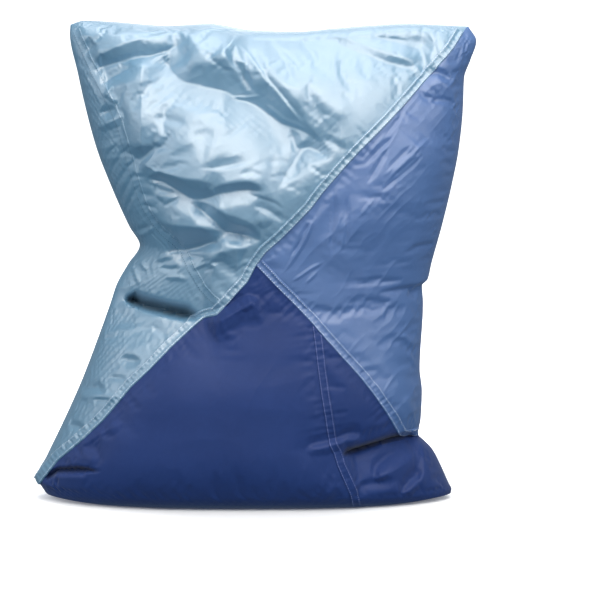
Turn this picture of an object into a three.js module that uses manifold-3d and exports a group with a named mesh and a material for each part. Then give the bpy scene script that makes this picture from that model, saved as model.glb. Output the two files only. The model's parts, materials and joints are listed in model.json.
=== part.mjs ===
// A big floor pouf: a flat-sewn sack of sailcloth, loosely filled with beads and stood on its lower edge.
// Its front is cut as four triangles that meet near the middle, light blue above and on the left, mid blue
// on the right and navy below, where the navy is joined from two pieces. Its back is one mid blue piece.
// Each cut piece is a solid with its share of the filling behind it, down to the plane of the rim seam.
// Millimetres. X runs to the right, Z up, and the front faces -Y. The origin is on the floor, mid base.
import * as THREE from "three";
import { mergeVertices } from "three/addons/utils/BufferGeometryUtils.js";
import Module from "manifold-3d";

const BASE_FRONT = 150; // depth of the part that lies on the floor, in front of the rim
const BASE_BACK = 140; // and behind it
const LEAN = 0.03; // the rim plane leans back by this much for each unit of height
const RIM_HALF = 3; // half thickness of the sewn rim
const CORNER_LIFT = 13; // the two lower corners stand this far off the floor
const FLAT_HALF_SHARE = 0.62; // share of the half width that lies flat on the floor
const CHINE_AT_CORNER = 0.35; // the turn-under above the floor is this much lower at the corners
const TURN_UNDER = 40; // the cloth turns in towards the base below this height
const FOLD_ROOM = 90; // folds fade out where the sack is less deep than this, and where it turns under
const LONGEST_EASE = 70; // a fold comes in and out over a third of its length, or over this
const SIDE_POWER = 2.6; // roundness of a level section: higher is boxier
const SIDE_TURN = 0.62; // how sharply that section turns in to the rim
const TOP_POWER = 18; // the same two for the way the sack closes at its top edge
const TOP_TURN = 0.6;
const SEAM_WIDTH = 21; // the felled seams, as wide as their two rows of stitching need
const SEAM_PROUD = 2; // and as thick as the cloth folded into them
const GAP = 0.3; // between neighbouring pieces
const REACH = 900; // cutting tools run this far past the sack

const LIGHT_BLUE = 0x9dc0d8;
const MID_BLUE = 0x6181bd;
const NAVY = 0x2f4285;
const CLOTH_ROUGHNESS = 0.45;

// The outline of the sack from its front: where the left and right rims lie at each height.
const LEFT_RIM = [
  { z: 13, x: -552 },
  { z: 32, x: -565 },
  { z: 50, x: -578 },
  { z: 109, x: -550 },
  { z: 208, x: -502 },
  { z: 308, x: -457 },
  { z: 411, x: -417 },
  { z: 510, x: -381 },
  { z: 560, x: -364 },
  { z: 613, x: -334 },
  { z: 662, x: -304 },
  { z: 712, x: -331 },
  { z: 813, x: -376 },
  { z: 912, x: -414 },
  { z: 1012, x: -441 },
  { z: 1108, x: -462 },
  { z: 1211, x: -482 },
  { z: 1233, x: -480 },
];
const RIGHT_RIM = [
  { z: 10, x: 508 },
  { z: 23, x: 510 },
  { z: 35, x: 504 },
  { z: 109, x: 470 },
  { z: 132, x: 456 },
  { z: 148, x: 440 },
  { z: 167, x: 422 },
  { z: 208, x: 429 },
  { z: 280, x: 432 },
  { z: 340, x: 426 },
  { z: 510, x: 434 },
  { z: 557, x: 431 },
  { z: 574, x: 446 },
  { z: 613, x: 455 },
  { z: 712, x: 482 },
  { z: 813, x: 506 },
  { z: 912, x: 525 },
  { z: 1012, x: 535 },
  { z: 1095, x: 538 },
  { z: 1142, x: 554 },
  { z: 1191, x: 569 },
  { z: 1228, x: 548 },
];
// The top edge sags a little between its corners.
const TOP_EDGE = [
  { x: -480, z: 1233 },
  { x: -445, z: 1243 },
  { x: -372, z: 1240 },
  { x: -228, z: 1230 },
  { x: -119, z: 1235 },
  { x: -9, z: 1218 },
  { x: 100, z: 1215 },
  { x: 199, z: 1223 },
  { x: 289, z: 1230 },
  { x: 388, z: 1235 },
  { x: 548, z: 1228 },
];
// How far the filled cloth stands out from the rim plane along the middle, front and back.
const BELLY = [
  { z: 0, front: BASE_FRONT, back: BASE_BACK },
  { z: 14, front: 184, back: 170 },
  { z: 36, front: 208, back: 192 },
  { z: 80, front: 225, back: 205 },
  { z: 160, front: 236, back: 214 },
  { z: 270, front: 238, back: 222 },
  { z: 400, front: 212, back: 204 },
  { z: 520, front: 186, back: 186 },
  { z: 620, front: 184, back: 182 },
  { z: 740, front: 204, back: 192 },
  { z: 860, front: 214, back: 200 },
  { z: 980, front: 212, back: 198 },
  { z: 1090, front: 202, back: 188 },
  { z: 1240, front: 184, back: 170 },
];

// The main folds. Each is a groove from (x1, z1) to (x2, z2), pushed in by depth, or a ridge where depth
// is negative, with its own width on the left and on the right of its way.
const FRONT_FOLDS = [
  { name: "waist_shelf", x1: -397, z1: 531, x2: -125, z2: 507, depth: 50, left: 95, right: 14 },
  { name: "waist_right", x1: 450, z1: 556, x2: 318, z2: 522, depth: 14, left: 30, right: 45 },
  { name: "lower_right_tuck", x1: 218, z1: 144, x2: 450, z2: 170, depth: 42, left: 36, right: 14 },
  { name: "lower_left_tuck", x1: -560, z1: 57, x2: -380, z2: 102, depth: 20, left: 18, right: 12 },
  { name: "top_left_band", x1: -450, z1: 1120, x2: -160, z2: 1190, depth: 20, left: 26, right: 20 },
  { name: "top_hollow", x1: -230, z1: 1120, x2: -50, z2: 1056, depth: 22, left: 60, right: 30 },
  { name: "top_diagonal", x1: -95, z1: 1072, x2: 205, z2: 893, depth: 18, left: 40, right: 34 },
  { name: "top_right_band", x1: 175, z1: 1194, x2: 430, z2: 1120, depth: 14, left: 20, right: 40 },
  { name: "belly_fold", x1: -290, z1: 850, x2: 20, z2: 823, depth: 14, left: 22, right: 24 },
  { name: "lower_belly_fold", x1: -170, z1: 790, x2: 22, z2: 706, depth: 16, left: 34, right: 20 },
  { name: "left_wedge", x1: -245, z1: 656, x2: -65, z2: 705, depth: 14, left: 40, right: 22 },
];
const BACK_FOLDS = [
  { name: "waist_left", x1: -330, z1: 655, x2: -60, z2: 580, depth: 34, left: 70, right: 46 },
  { name: "waist_right", x1: 440, z1: 556, x2: 170, z2: 526, depth: 30, left: 44, right: 60 },
  { name: "top_left", x1: -380, z1: 1150, x2: -150, z2: 960, depth: 18, left: 34, right: 44 },
  { name: "top_middle", x1: 30, z1: 1190, x2: 90, z2: 960, depth: 18, left: 40, right: 40 },
  { name: "top_right", x1: 440, z1: 1130, x2: 240, z2: 930, depth: 18, left: 42, right: 34 },
  { name: "lower_right_tuck", x1: 225, z1: 132, x2: 430, z2: 166, depth: 26, left: 34, right: 24 },
];

// The seams of the front, as points on the sack seen from its front.
const CROSSING = { x: 1, z: 630 }; // where the navy comes to its point
const LEFT_CROSSING = { x: -89, z: 513 }; // where the light blue pieces part
const NAVY_JOIN_TOP = { x: 143, z: 483 }; // where the join in the navy starts
const MAIN_SEAM = [
  { x: 620, z: 1290 },
  { x: 540, z: 1223 },
  { x: 506, z: 1174 },
  { x: 454, z: 1116 },
  { x: 401, z: 1059 },
  { x: 341, z: 996 },
  { x: 265, z: 923 },
  { x: 218, z: 872 },
  { x: 170, z: 817 },
  { x: 139, z: 775 },
  { x: 103, z: 738 },
  { x: 62, z: 697 },
  { x: 25, z: 663 },
  CROSSING,
  { x: -21, z: 587 },
  { x: -53, z: 553 },
  { x: -78, z: 524 },
  LEFT_CROSSING,
  { x: -100, z: 502 },
  { x: -134, z: 490 },
  { x: -159, z: 470 },
  { x: -219, z: 416 },
  { x: -273, z: 360 },
  { x: -319, z: 316 },
  { x: -366, z: 258 },
  { x: -394, z: 225 },
  { x: -454, z: 166 },
  { x: -512, z: 113 },
  { x: -549, z: 65 },
  { x: -600, z: -10 },
];
const TOP_LEFT_SEAM = [
  LEFT_CROSSING,
  { x: -124, z: 541 },
  { x: -145, z: 563 },
  { x: -173, z: 610 },
  { x: -194, z: 654 },
  { x: -217, z: 678 },
  { x: -246, z: 703 },
  { x: -271, z: 733 },
  { x: -292, z: 766 },
  { x: -307, z: 802 },
  { x: -325, z: 861 },
  { x: -342, z: 930 },
  { x: -358, z: 983 },
  { x: -379, z: 1028 },
  { x: -438, z: 1138 },
  { x: -476, z: 1219 },
  { x: -510, z: 1300 },
];
const RIGHT_SEAM = [
  CROSSING,
  { x: 49, z: 580 },
  { x: 93, z: 535 },
  NAVY_JOIN_TOP,
  { x: 180, z: 440 },
  { x: 236, z: 377 },
  { x: 269, z: 339 },
  { x: 298, z: 301 },
  { x: 326, z: 259 },
  { x: 344, z: 229 },
  { x: 360, z: 200 },
  { x: 371, z: 181 },
  { x: 395, z: 170 },
  { x: 430, z: 167 },
  { x: 560, z: 162 },
];
const NAVY_JOIN = [
  NAVY_JOIN_TOP,
  { x: 150, z: 431 },
  { x: 157, z: 371 },
  { x: 165, z: 309 },
  { x: 174, z: 255 },
  { x: 182, z: 201 },
  { x: 187, z: 175 },
  { x: 198, z: 151 },
  { x: 208, z: 119 },
  { x: 221, z: 88 },
  { x: 241, z: 41 },
  { x: 256, z: -30 },
];

const FRONT_COLUMNS = 48;
const BACK_COLUMNS = 34;
const CROWDING = 1.35; // columns draw together towards the rims, the more the nearer this is to a right angle
// Rows of points up the sack, closer where a fold is sharp: the pitch that holds up to each height.
const FRONT_PITCH = [
  { z: 30, pitch: 15 },
  { z: 90, pitch: 20 },
  { z: 175, pitch: 11 },
  { z: 440, pitch: 29 },
  { z: 545, pitch: 13 },
  { z: 1100, pitch: 26 },
  { z: 1170, pitch: 20 },
  { z: 1210, pitch: 11 },
  { z: 1225, pitch: 5 },
];
const BACK_PITCH = [
  { z: 60, pitch: 20 },
  { z: 1130, pitch: 36 },
  { z: 1170, pitch: 22 },
  { z: 1210, pitch: 13 },
  { z: 1225, pitch: 5 },
];

const wasm = await Module();
wasm.setup();

const clamp = (t, low, high) => Math.min(high, Math.max(low, t));
const mix = (a, b, t) => a + (b - a) * t;

function smoothStep(low, high, t) {
  const s = clamp((t - low) / (high - low), 0, 1);
  return s * s * (3 - 2 * s);
}

// A smooth curve through the rows of a table, as value of one column against another. It never overshoots.
function curve(table, along, value) {
  const last = table.length - 1;
  const slopes = table.slice(1).map((row, i) => {
    const rise = row[value] - table[i][value];
    return rise / (row[along] - table[i][along]);
  });
  const tangents = table.map((_, i) => {
    if (i === 0) return slopes[0];
    if (i === last) return slopes[last - 1];
    const before = slopes[i - 1];
    const after = slopes[i];
    return before * after <= 0 ? 0 : (2 * before * after) / (before + after);
  });
  return (at) => {
    const t = clamp(at, table[0][along], table[last][along]);
    let i = 0;
    while (i < last - 1 && t > table[i + 1][along]) i += 1;
    const span = table[i + 1][along] - table[i][along];
    const s = (t - table[i][along]) / span;
    return (
      table[i][value] * (1 + 2 * s) * (1 - s) ** 2 +
      table[i + 1][value] * s * s * (3 - 2 * s) +
      span * (tangents[i] * s * (1 - s) ** 2 - tangents[i + 1] * s * s * (1 - s))
    );
  };
}

const leftRim = curve(LEFT_RIM, "z", "x");
const rightRim = curve(RIGHT_RIM, "z", "x");
const topEdge = curve(TOP_EDGE, "x", "z");
const belly = { front: curve(BELLY, "z", "front"), back: curve(BELLY, "z", "back") };

// How far the folds push the cloth in at (x, z): each is a bell across its line, eased off at its ends.
function foldDepth(folds, x, z) {
  return folds.reduce((sum, fold) => {
    const dx = fold.x2 - fold.x1;
    const dz = fold.z2 - fold.z1;
    const length = Math.hypot(dx, dz);
    const along = ((x - fold.x1) * dx + (z - fold.z1) * dz) / length;
    const across = ((z - fold.z1) * dx - (x - fold.x1) * dz) / length;
    const width = across > 0 ? fold.left : fold.right;
    const ease = Math.min(length / 3, LONGEST_EASE);
    const ends = smoothStep(-ease / 2, ease / 2, along) * smoothStep(-ease / 2, ease / 2, length - along);
    return sum + fold.depth * ends * Math.exp(-((across / width) ** 2));
  }, 0);
}

// A point of the cloth. u runs from -1 at the left rim to 1 at the right, and v from 0 at the base to 1
// at the top.
function clothPoint(side, u, v, folds, proud) {
  const across = (u + 1) / 2;
  const bottom = CORNER_LIFT * smoothStep(FLAT_HALF_SHARE, 1, Math.abs(u));
  const top = topEdge(mix(TOP_EDGE[0].x, TOP_EDGE[TOP_EDGE.length - 1].x, across));
  const z = mix(bottom, top, v);
  const x = mix(leftRim(z), rightRim(z), across);
  const turn = (1 - Math.abs(u) ** SIDE_POWER) ** SIDE_TURN * (1 - v ** TOP_POWER) ** TOP_TURN;
  const tight = mix(1 / mix(CHINE_AT_CORNER, 1, turn), 1, smoothStep(TURN_UNDER, 5 * TURN_UNDER, z));
  const full = belly[side](z * tight) * turn;
  const room = Math.min(1, full / FOLD_ROOM);
  const offFloor = smoothStep(0, TURN_UNDER, z);
  const depth = RIM_HALF + full - foldDepth(folds, x, z) * room * offFloor + proud;
  return { x, z, depth };
}

// Heights of the rows of points, as shares of the height.
function rowShares(pitches) {
  const rows = [0];
  const height = pitches[pitches.length - 1].z;
  let z = 0;
  for (const { z: end, pitch } of pitches) {
    const count = Math.max(1, Math.round((end - z) / pitch));
    for (let i = 1; i <= count; i += 1) rows.push((z + ((end - z) * i) / count) / height);
    z = end;
  }
  return rows;
}

// One half of the filled sack, from the rim plane out to the cloth, as a closed mesh.
function halfSack(side, columns, pitches, folds, proud = 0) {
  const sign = side === "front" ? -1 : 1;
  const rows = rowShares(pitches);
  const top = rows.length - 1;
  const points = [];
  const corners = [];
  const add = (x, y, z) => points.push(x, y, z) / 3 - 1;
  const face = (a, b, c) => corners.push(...(sign < 0 ? [a, b, c] : [a, c, b]));
  const skin = rows.map((v) =>
    Array.from({ length: columns + 1 }, (_, i) => {
      const even = (2 * i) / columns - 1;
      const u = Math.sin(even * CROWDING) / Math.sin(CROWDING);
      const { x, z, depth } = clothPoint(side, u, v, folds, proud);
      return add(x, sign * depth, z);
    }),
  );
  for (let j = 0; j < top; j += 1) {
    for (let i = 0; i < columns; i += 1) {
      face(skin[j][i], skin[j][i + 1], skin[j + 1][i + 1]);
      face(skin[j][i], skin[j + 1][i + 1], skin[j + 1][i]);
    }
  }
  const rim = [
    ...skin[0],
    ...skin.slice(1, top).map((row) => row[columns]),
    ...[...skin[top]].reverse(),
    ...skin.slice(1, top).map((row) => row[0]).reverse(),
  ];
  const plane = rim.map((corner) => add(points[3 * corner], (sign * GAP) / 2, points[3 * corner + 2]));
  rim.forEach((corner, i) => {
    const next = (i + 1) % rim.length;
    face(corner, plane[i], plane[next]);
    face(corner, plane[next], rim[next]);
  });
  const flat = plane.map((corner) => new THREE.Vector2(points[3 * corner], points[3 * corner + 2]));
  for (const [a, b, c] of THREE.ShapeUtils.triangulateShape(flat, [])) face(plane[a], plane[c], plane[b]);
  const geometry = new THREE.BufferGeometry();
  geometry.setAttribute("position", new THREE.Float32BufferAttribute(points, 3));
  geometry.setIndex(corners);
  return solid(geometry);
}

// A closed geometry as a solid that can be cut and joined.
function solid(geometry) {
  const bare = new THREE.BufferGeometry();
  bare.setAttribute("position", geometry.getAttribute("position"));
  bare.setIndex(geometry.index);
  const merged = mergeVertices(bare, 1e-3);
  return new wasm.Manifold(
    new wasm.Mesh({
      numProp: 3,
      vertProperties: merged.attributes.position.array,
      triVerts: new Uint32Array(merged.index.array),
    }),
  );
}

// An outline seen from the front, cut through the whole front half as a straight-sided block.
function block(outline) {
  const shape = new THREE.Shape(outline.map(({ x, z }) => new THREE.Vector2(x, z)));
  const geometry = new THREE.ExtrudeGeometry(shape, { depth: REACH, bevelEnabled: false });
  geometry.rotateX(Math.PI / 2);
  geometry.translate(0, REACH / 2, 0);
  return solid(geometry);
}

// A line moved sideways, to the left of its way where distance is positive.
function shifted(line, distance) {
  return line.map((point, i) => {
    const before = line[Math.max(0, i - 1)];
    const after = line[Math.min(line.length - 1, i + 1)];
    const length = Math.hypot(after.x - before.x, after.z - before.z);
    return {
      x: point.x - ((after.z - before.z) / length) * distance,
      z: point.z + ((after.x - before.x) / length) * distance,
    };
  });
}

// The strip between two distances from a line.
const strip = (line, from, to) => block([...shifted(line, from), ...shifted(line, to).reverse()]);

// The part of a line between two of its own points, both included.
const stretch = (line, from, to) => line.slice(line.indexOf(from), line.indexOf(to) + 1);

const front = halfSack("front", FRONT_COLUMNS, FRONT_PITCH, FRONT_FOLDS);
const frontProud = halfSack("front", FRONT_COLUMNS, FRONT_PITCH, FRONT_FOLDS, SEAM_PROUD);
const back = halfSack("back", BACK_COLUMNS, BACK_PITCH, BACK_FOLDS);

const cuts = [MAIN_SEAM, TOP_LEFT_SEAM, RIGHT_SEAM, NAVY_JOIN]
  .map((line) => strip(line, -GAP / 2, GAP / 2))
  .reduce((all, cut) => all.add(cut));

const mainStart = MAIN_SEAM[0];
const mainEnd = MAIN_SEAM[MAIN_SEAM.length - 1];
const topLeftEnd = TOP_LEFT_SEAM[TOP_LEFT_SEAM.length - 1];
const upperMain = stretch(MAIN_SEAM, mainStart, LEFT_CROSSING);
const lowerMain = stretch(MAIN_SEAM, LEFT_CROSSING, mainEnd);
const rightEnd = RIGHT_SEAM[RIGHT_SEAM.length - 1];
const joinEnd = NAVY_JOIN[NAVY_JOIN.length - 1];

// Each piece of the front: its outline, its cloth, and the seams whose folded edge it carries. A seam's
// band lies on the left of its way where side is 1, and on the right where it is -1.
const FRONT_PIECES = [
  {
    name: "front_top_panel",
    colour: LIGHT_BLUE,
    outline: [
      ...upperMain,
      ...TOP_LEFT_SEAM.slice(1),
      { x: topLeftEnd.x, z: 2 * REACH },
      { x: mainStart.x, z: 2 * REACH },
    ],
    bands: [
      { line: upperMain, side: -1 },
      { line: TOP_LEFT_SEAM, side: -1 },
    ],
  },
  {
    name: "front_left_panel",
    colour: LIGHT_BLUE,
    outline: [
      ...lowerMain,
      { x: -REACH, z: mainEnd.z },
      { x: -REACH, z: topLeftEnd.z },
      ...TOP_LEFT_SEAM.slice(1).reverse(),
    ],
    bands: [{ line: lowerMain, side: -1 }],
  },
  {
    name: "front_right_panel",
    colour: MID_BLUE,
    outline: [
      ...stretch(MAIN_SEAM, mainStart, CROSSING),
      ...RIGHT_SEAM.slice(1),
      { x: REACH, z: rightEnd.z },
      { x: REACH, z: mainStart.z },
    ],
    bands: [{ line: RIGHT_SEAM, side: 1 }],
  },
  {
    name: "front_bottom_panel",
    colour: NAVY,
    outline: [
      ...stretch(MAIN_SEAM, CROSSING, mainEnd),
      { x: mainEnd.x, z: -REACH },
      { x: joinEnd.x, z: -REACH },
      ...[...NAVY_JOIN].reverse(),
      ...stretch(RIGHT_SEAM, CROSSING, NAVY_JOIN_TOP).slice(1, -1).reverse(),
    ],
    bands: [],
  },
  {
    name: "front_corner_panel",
    colour: NAVY,
    outline: [
      ...NAVY_JOIN,
      { x: joinEnd.x, z: -REACH },
      { x: rightEnd.x, z: -REACH },
      ...stretch(RIGHT_SEAM, NAVY_JOIN_TOP, rightEnd).slice(1).reverse(),
    ],
    bands: [{ line: NAVY_JOIN, side: 1 }],
  },
];

function frontPiece({ outline, bands }) {
  const region = block(outline);
  const plain = front.intersect(region);
  const raised = bands.map(({ line, side }) =>
    frontProud.intersect(strip(line, 0, side * SEAM_WIDTH)).intersect(region),
  );
  return raised.reduce((all, band) => all.add(band), plain).subtract(cuts);
}

function meshOf(name, made, colour) {
  const { vertProperties, triVerts } = made.getMesh();
  const positions = vertProperties.slice();
  for (let i = 0; i < positions.length; i += 3) positions[i + 1] += LEAN * positions[i + 2];
  const geometry = new THREE.BufferGeometry();
  geometry.setAttribute("position", new THREE.BufferAttribute(positions, 3));
  geometry.setIndex(new THREE.BufferAttribute(triVerts.slice(), 1));
  geometry.computeVertexNormals();
  const material = new THREE.MeshStandardMaterial({ color: colour, roughness: CLOTH_ROUGHNESS });
  const mesh = new THREE.Mesh(geometry, material);
  mesh.name = name;
  return mesh;
}

const pouf = new THREE.Group();
for (const piece of FRONT_PIECES) pouf.add(meshOf(piece.name, frontPiece(piece), piece.colour));
pouf.add(meshOf("back_panel", back, MID_BLUE));

export default pouf;
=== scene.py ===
"""A big floor pouf of glossy sailcloth, dressed for rendering.

The sack is worked out in millimetres: a smooth filled form over the plane of its rim seam, then the
creases, crumples and puckers of thin cloth on top of it. Each cut piece becomes a thin shell of cloth,
and the felled seams, with their two rows of stitching, lie on the shells. Meshes are in metres.
"""

from __future__ import annotations

import json
import logging
import math
from dataclasses import dataclass, field
from enum import Enum
from typing import Callable, ClassVar, NamedTuple

import bpy
import numpy as np
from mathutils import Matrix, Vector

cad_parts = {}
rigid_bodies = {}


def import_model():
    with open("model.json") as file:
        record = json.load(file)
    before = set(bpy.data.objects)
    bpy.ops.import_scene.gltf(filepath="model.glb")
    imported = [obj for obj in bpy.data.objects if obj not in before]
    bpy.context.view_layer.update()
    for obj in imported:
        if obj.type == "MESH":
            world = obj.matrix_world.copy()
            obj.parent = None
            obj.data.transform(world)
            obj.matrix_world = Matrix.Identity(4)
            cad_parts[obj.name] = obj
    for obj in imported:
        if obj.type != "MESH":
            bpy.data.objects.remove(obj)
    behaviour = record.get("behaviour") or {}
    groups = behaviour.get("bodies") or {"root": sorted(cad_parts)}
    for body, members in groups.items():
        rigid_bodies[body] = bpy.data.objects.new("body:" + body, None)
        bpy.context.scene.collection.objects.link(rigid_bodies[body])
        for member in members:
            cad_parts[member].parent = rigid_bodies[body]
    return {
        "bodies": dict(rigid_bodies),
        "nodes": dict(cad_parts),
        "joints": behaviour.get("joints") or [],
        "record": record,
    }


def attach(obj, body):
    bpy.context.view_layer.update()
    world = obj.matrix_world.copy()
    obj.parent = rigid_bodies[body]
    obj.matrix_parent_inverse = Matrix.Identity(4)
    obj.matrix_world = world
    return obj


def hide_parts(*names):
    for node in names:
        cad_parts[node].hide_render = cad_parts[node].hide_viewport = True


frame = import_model()

MM = 0.001
TINY = 1e-9
LOG = logging.getLogger("pouf")
Array = np.ndarray
Distances = dict[str, tuple[Array, Array]]


class Side(Enum):
    """The two halves of the sack, and the way each faces along Y."""

    FRONT = -1
    BACK = 1


def smooth_step(low: float | Array, high: float | Array, at: Array) -> Array:
    """Rises from 0 at low to 1 at high as 3 s squared less 2 s cubed.

    Args:
        low: Where the rise starts.
        high: Where it ends.
        at: The places asked for.

    Returns:
        The height of the rise at each place.
    """
    s = np.clip((at - low) / (high - low), 0.0, 1.0)
    return s * s * (3.0 - 2.0 * s)


def unit(vectors: Array) -> Array:
    """The same vectors, along the last axis, with a length of 1."""
    return vectors / np.maximum(np.linalg.norm(vectors, axis=-1, keepdims=True), TINY)


def linked(name: str, data: bpy.types.ID) -> bpy.types.Object:
    """Makes an object and links it to the scene.

    Args:
        name: Its name.
        data: Its mesh, light or camera.

    Returns:
        The new object.
    """
    made = bpy.data.objects.new(name, data)
    bpy.context.scene.collection.objects.link(made)
    return made


class SmoothCurve:
    """A curve through table rows that never overshoots them.

    Between rows it is the cubic with harmonic-mean slopes, so it rises only where the rows rise.
    """

    def __init__(self, rows: tuple[tuple[float, float], ...]) -> None:
        """Works out the slope at each row.

        Args:
            rows: Pairs of place and value, in order of place.
        """
        table = np.array(rows, dtype=float)
        self.at, self.value = table[:, 0], table[:, 1]
        span = np.diff(self.at)
        rise = np.diff(self.value) / span
        product = rise[:-1] * rise[1:]
        total = np.where(product > 0.0, rise[:-1] + rise[1:], 1.0)
        inner = np.where(product > 0.0, 2.0 * product / total, 0.0)
        self.slope = np.concatenate(([rise[0]], inner, [rise[-1]]))

    def __call__(self, asked: Array) -> Array:
        """The value of the curve, held level past its ends.

        Args:
            asked: The places asked for.

        Returns:
            The value at each place.
        """
        t = np.clip(asked, self.at[0], self.at[-1])
        i = np.clip(np.searchsorted(self.at, t, side="right") - 1, 0, len(self.at) - 2)
        span = self.at[i + 1] - self.at[i]
        s = (t - self.at[i]) / span
        start, end = self.value[i], self.value[i + 1]
        bend = self.slope[i] * s * (1.0 - s) ** 2 - self.slope[i + 1] * s * s * (1.0 - s)
        return start * (1.0 + 2.0 * s) * (1.0 - s) ** 2 + end * s * s * (3.0 - 2.0 * s) + span * bend


@dataclass
class SackForm:
    """The filled sack as two surfaces over the plane of its rim, in millimetres.

    The rim tables hold height and reach, the top edge holds reach and height, and the belly tables hold
    height and how far the cloth stands out from the rim plane along the middle.
    """

    lean: float = 0.03
    rim_half: float = 3.0
    edge_half: float = 0.5
    corner_lift: float = 13.0
    flat_half_share: float = 0.62
    chine_at_corner: float = 0.35
    turn_under: float = 40.0
    turn_under_end: float = 200.0
    side_power: float = 2.6
    side_turn: float = 0.62
    top_power: float = 18.0
    top_turn: float = 0.6
    calm_reach: float = 75.0
    calm_steps: int = 7
    calm_fall: float = 0.8
    calm_power: int = 7
    left_rim: tuple = (
        (13, -552), (32, -565), (50, -578), (109, -550), (208, -502), (308, -457), (411, -417),
        (510, -381), (560, -364), (613, -334), (662, -304), (712, -331), (813, -376), (912, -414),
        (1012, -441), (1108, -462), (1211, -482), (1233, -480),
    )
    right_rim: tuple = (
        (10, 508), (23, 510), (35, 504), (109, 470), (132, 456), (148, 440), (167, 422), (208, 429),
        (280, 432), (340, 426), (510, 434), (557, 431), (574, 446), (613, 455), (712, 482), (813, 506),
        (912, 525), (1012, 535), (1095, 538), (1142, 554), (1191, 569), (1228, 548),
    )
    top_edge: tuple = (
        (-480, 1233), (-445, 1243), (-372, 1240), (-228, 1230), (-119, 1235), (-9, 1218), (100, 1215),
        (199, 1223), (289, 1230), (388, 1235), (548, 1228),
    )
    belly_front: tuple = (
        (0, 150), (14, 184), (36, 208), (80, 225), (160, 236), (270, 238), (400, 212), (520, 186),
        (620, 184), (740, 204), (860, 214), (980, 212), (1090, 202), (1240, 184),
    )
    belly_back: tuple = (
        (0, 140), (14, 170), (36, 192), (80, 205), (160, 214), (270, 222), (400, 204), (520, 186),
        (620, 182), (740, 192), (860, 200), (980, 198), (1090, 188), (1240, 170),
    )

    def __post_init__(self) -> None:
        """Makes the smooth curves of the tables."""
        self.left = SmoothCurve(self.left_rim)
        self.right = SmoothCurve(self.right_rim)
        self.top = SmoothCurve(self.top_edge)
        self.belly = {Side.FRONT: SmoothCurve(self.belly_front), Side.BACK: SmoothCurve(self.belly_back)}

    def ends(self, u: Array) -> tuple[Array, Array]:
        """Heights at which the cloth starts and ends.

        It starts at 0 and lifts towards the corners with a smooth step, and it ends at the top edge.

        Args:
            u: Shares across, from -1 to 1.

        Returns:
            The lowest and the highest height for each share.
        """
        low = self.corner_lift * smooth_step(self.flat_half_share, 1.0, np.abs(u))
        reach = self.top_edge[0][0] + (self.top_edge[-1][0] - self.top_edge[0][0]) * (u + 1.0) / 2.0
        return low, self.top(reach)

    def places(self, u: Array, v: Array) -> tuple[Array, Array]:
        """The places on the sack of shares across and up, each read evenly between the two edges.

        Args:
            u: Shares across, from -1 to 1.
            v: Shares up, from 0 to 1.

        Returns:
            The reach and the height of each.
        """
        low, high = self.ends(u)
        z = low + (high - low) * v
        return self.left(z) + (self.right(z) - self.left(z)) * (u + 1.0) / 2.0, z

    def shares(self, x: Array, z: Array) -> tuple[Array, Array]:
        """The shares across and up of places on the sack, the reverse of places.

        Args:
            x: Reaches.
            z: Heights.

        Returns:
            The share across, from -1 to 1, and the share up, from 0 to 1.
        """
        left, right = self.left(z), self.right(z)
        u = np.clip(2.0 * (x - left) / (right - left) - 1.0, -1.0, 1.0)
        low, high = self.ends(u)
        return u, np.clip((z - low) / (high - low), 0.0, 1.0)

    def calmed(self, u: Array, z: Array) -> Array:
        """The share across, measured from evened-out rims except close to them.

        So a notch in the rim dies away in the cloth instead of running across it. The evened rims are
        the means of the rims over calm_reach above and below, weighted by 1 - calm_fall s^2 with s from
        -1 to 1. The plain share comes back towards the rims as |u|^calm_power.

        Args:
            u: Shares across, from -1 to 1.
            z: Heights.

        Returns:
            The calmed shares.
        """
        steps = np.linspace(-1.0, 1.0, self.calm_steps)
        weights = 1.0 - self.calm_fall * steps**2
        weights = weights / np.sum(weights)
        left = sum(w * self.left(z + k * self.calm_reach) for w, k in zip(weights, steps))
        right = sum(w * self.right(z + k * self.calm_reach) for w, k in zip(weights, steps))
        x = self.left(z) + (self.right(z) - self.left(z)) * (u + 1.0) / 2.0
        even = np.clip(2.0 * (x - left) / (right - left) - 1.0, -1.0, 1.0)
        near = np.abs(u) ** self.calm_power
        return even + (u - even) * near

    def fullness(self, side: Side, u: Array, v: Array, z: Array) -> Array:
        """How far the smooth cloth stands out from the rim.

        It is the belly at that height, times how far the section has turned in at the sides,
        (1 - |u|^power)^turn, and at the top, (1 - v^power)^turn. Near the floor the belly is read
        higher up, the more the nearer the corner, so the turn-under is lower there.

        Args:
            side: The half asked for.
            u: Shares across, from -1 to 1.
            v: Shares up, from 0 to 1.
            z: Heights.

        Returns:
            The fullness in millimetres.
        """
        calm = self.calmed(u, z)
        across = (1.0 - np.abs(calm) ** self.side_power) ** self.side_turn
        turn = across * (1.0 - v**self.top_power) ** self.top_turn
        tight = 1.0 / (self.chine_at_corner + (1.0 - self.chine_at_corner) * turn)
        tight = tight + (1.0 - tight) * smooth_step(self.turn_under, self.turn_under_end, z)
        return self.belly[side](z * tight) * turn


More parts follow.
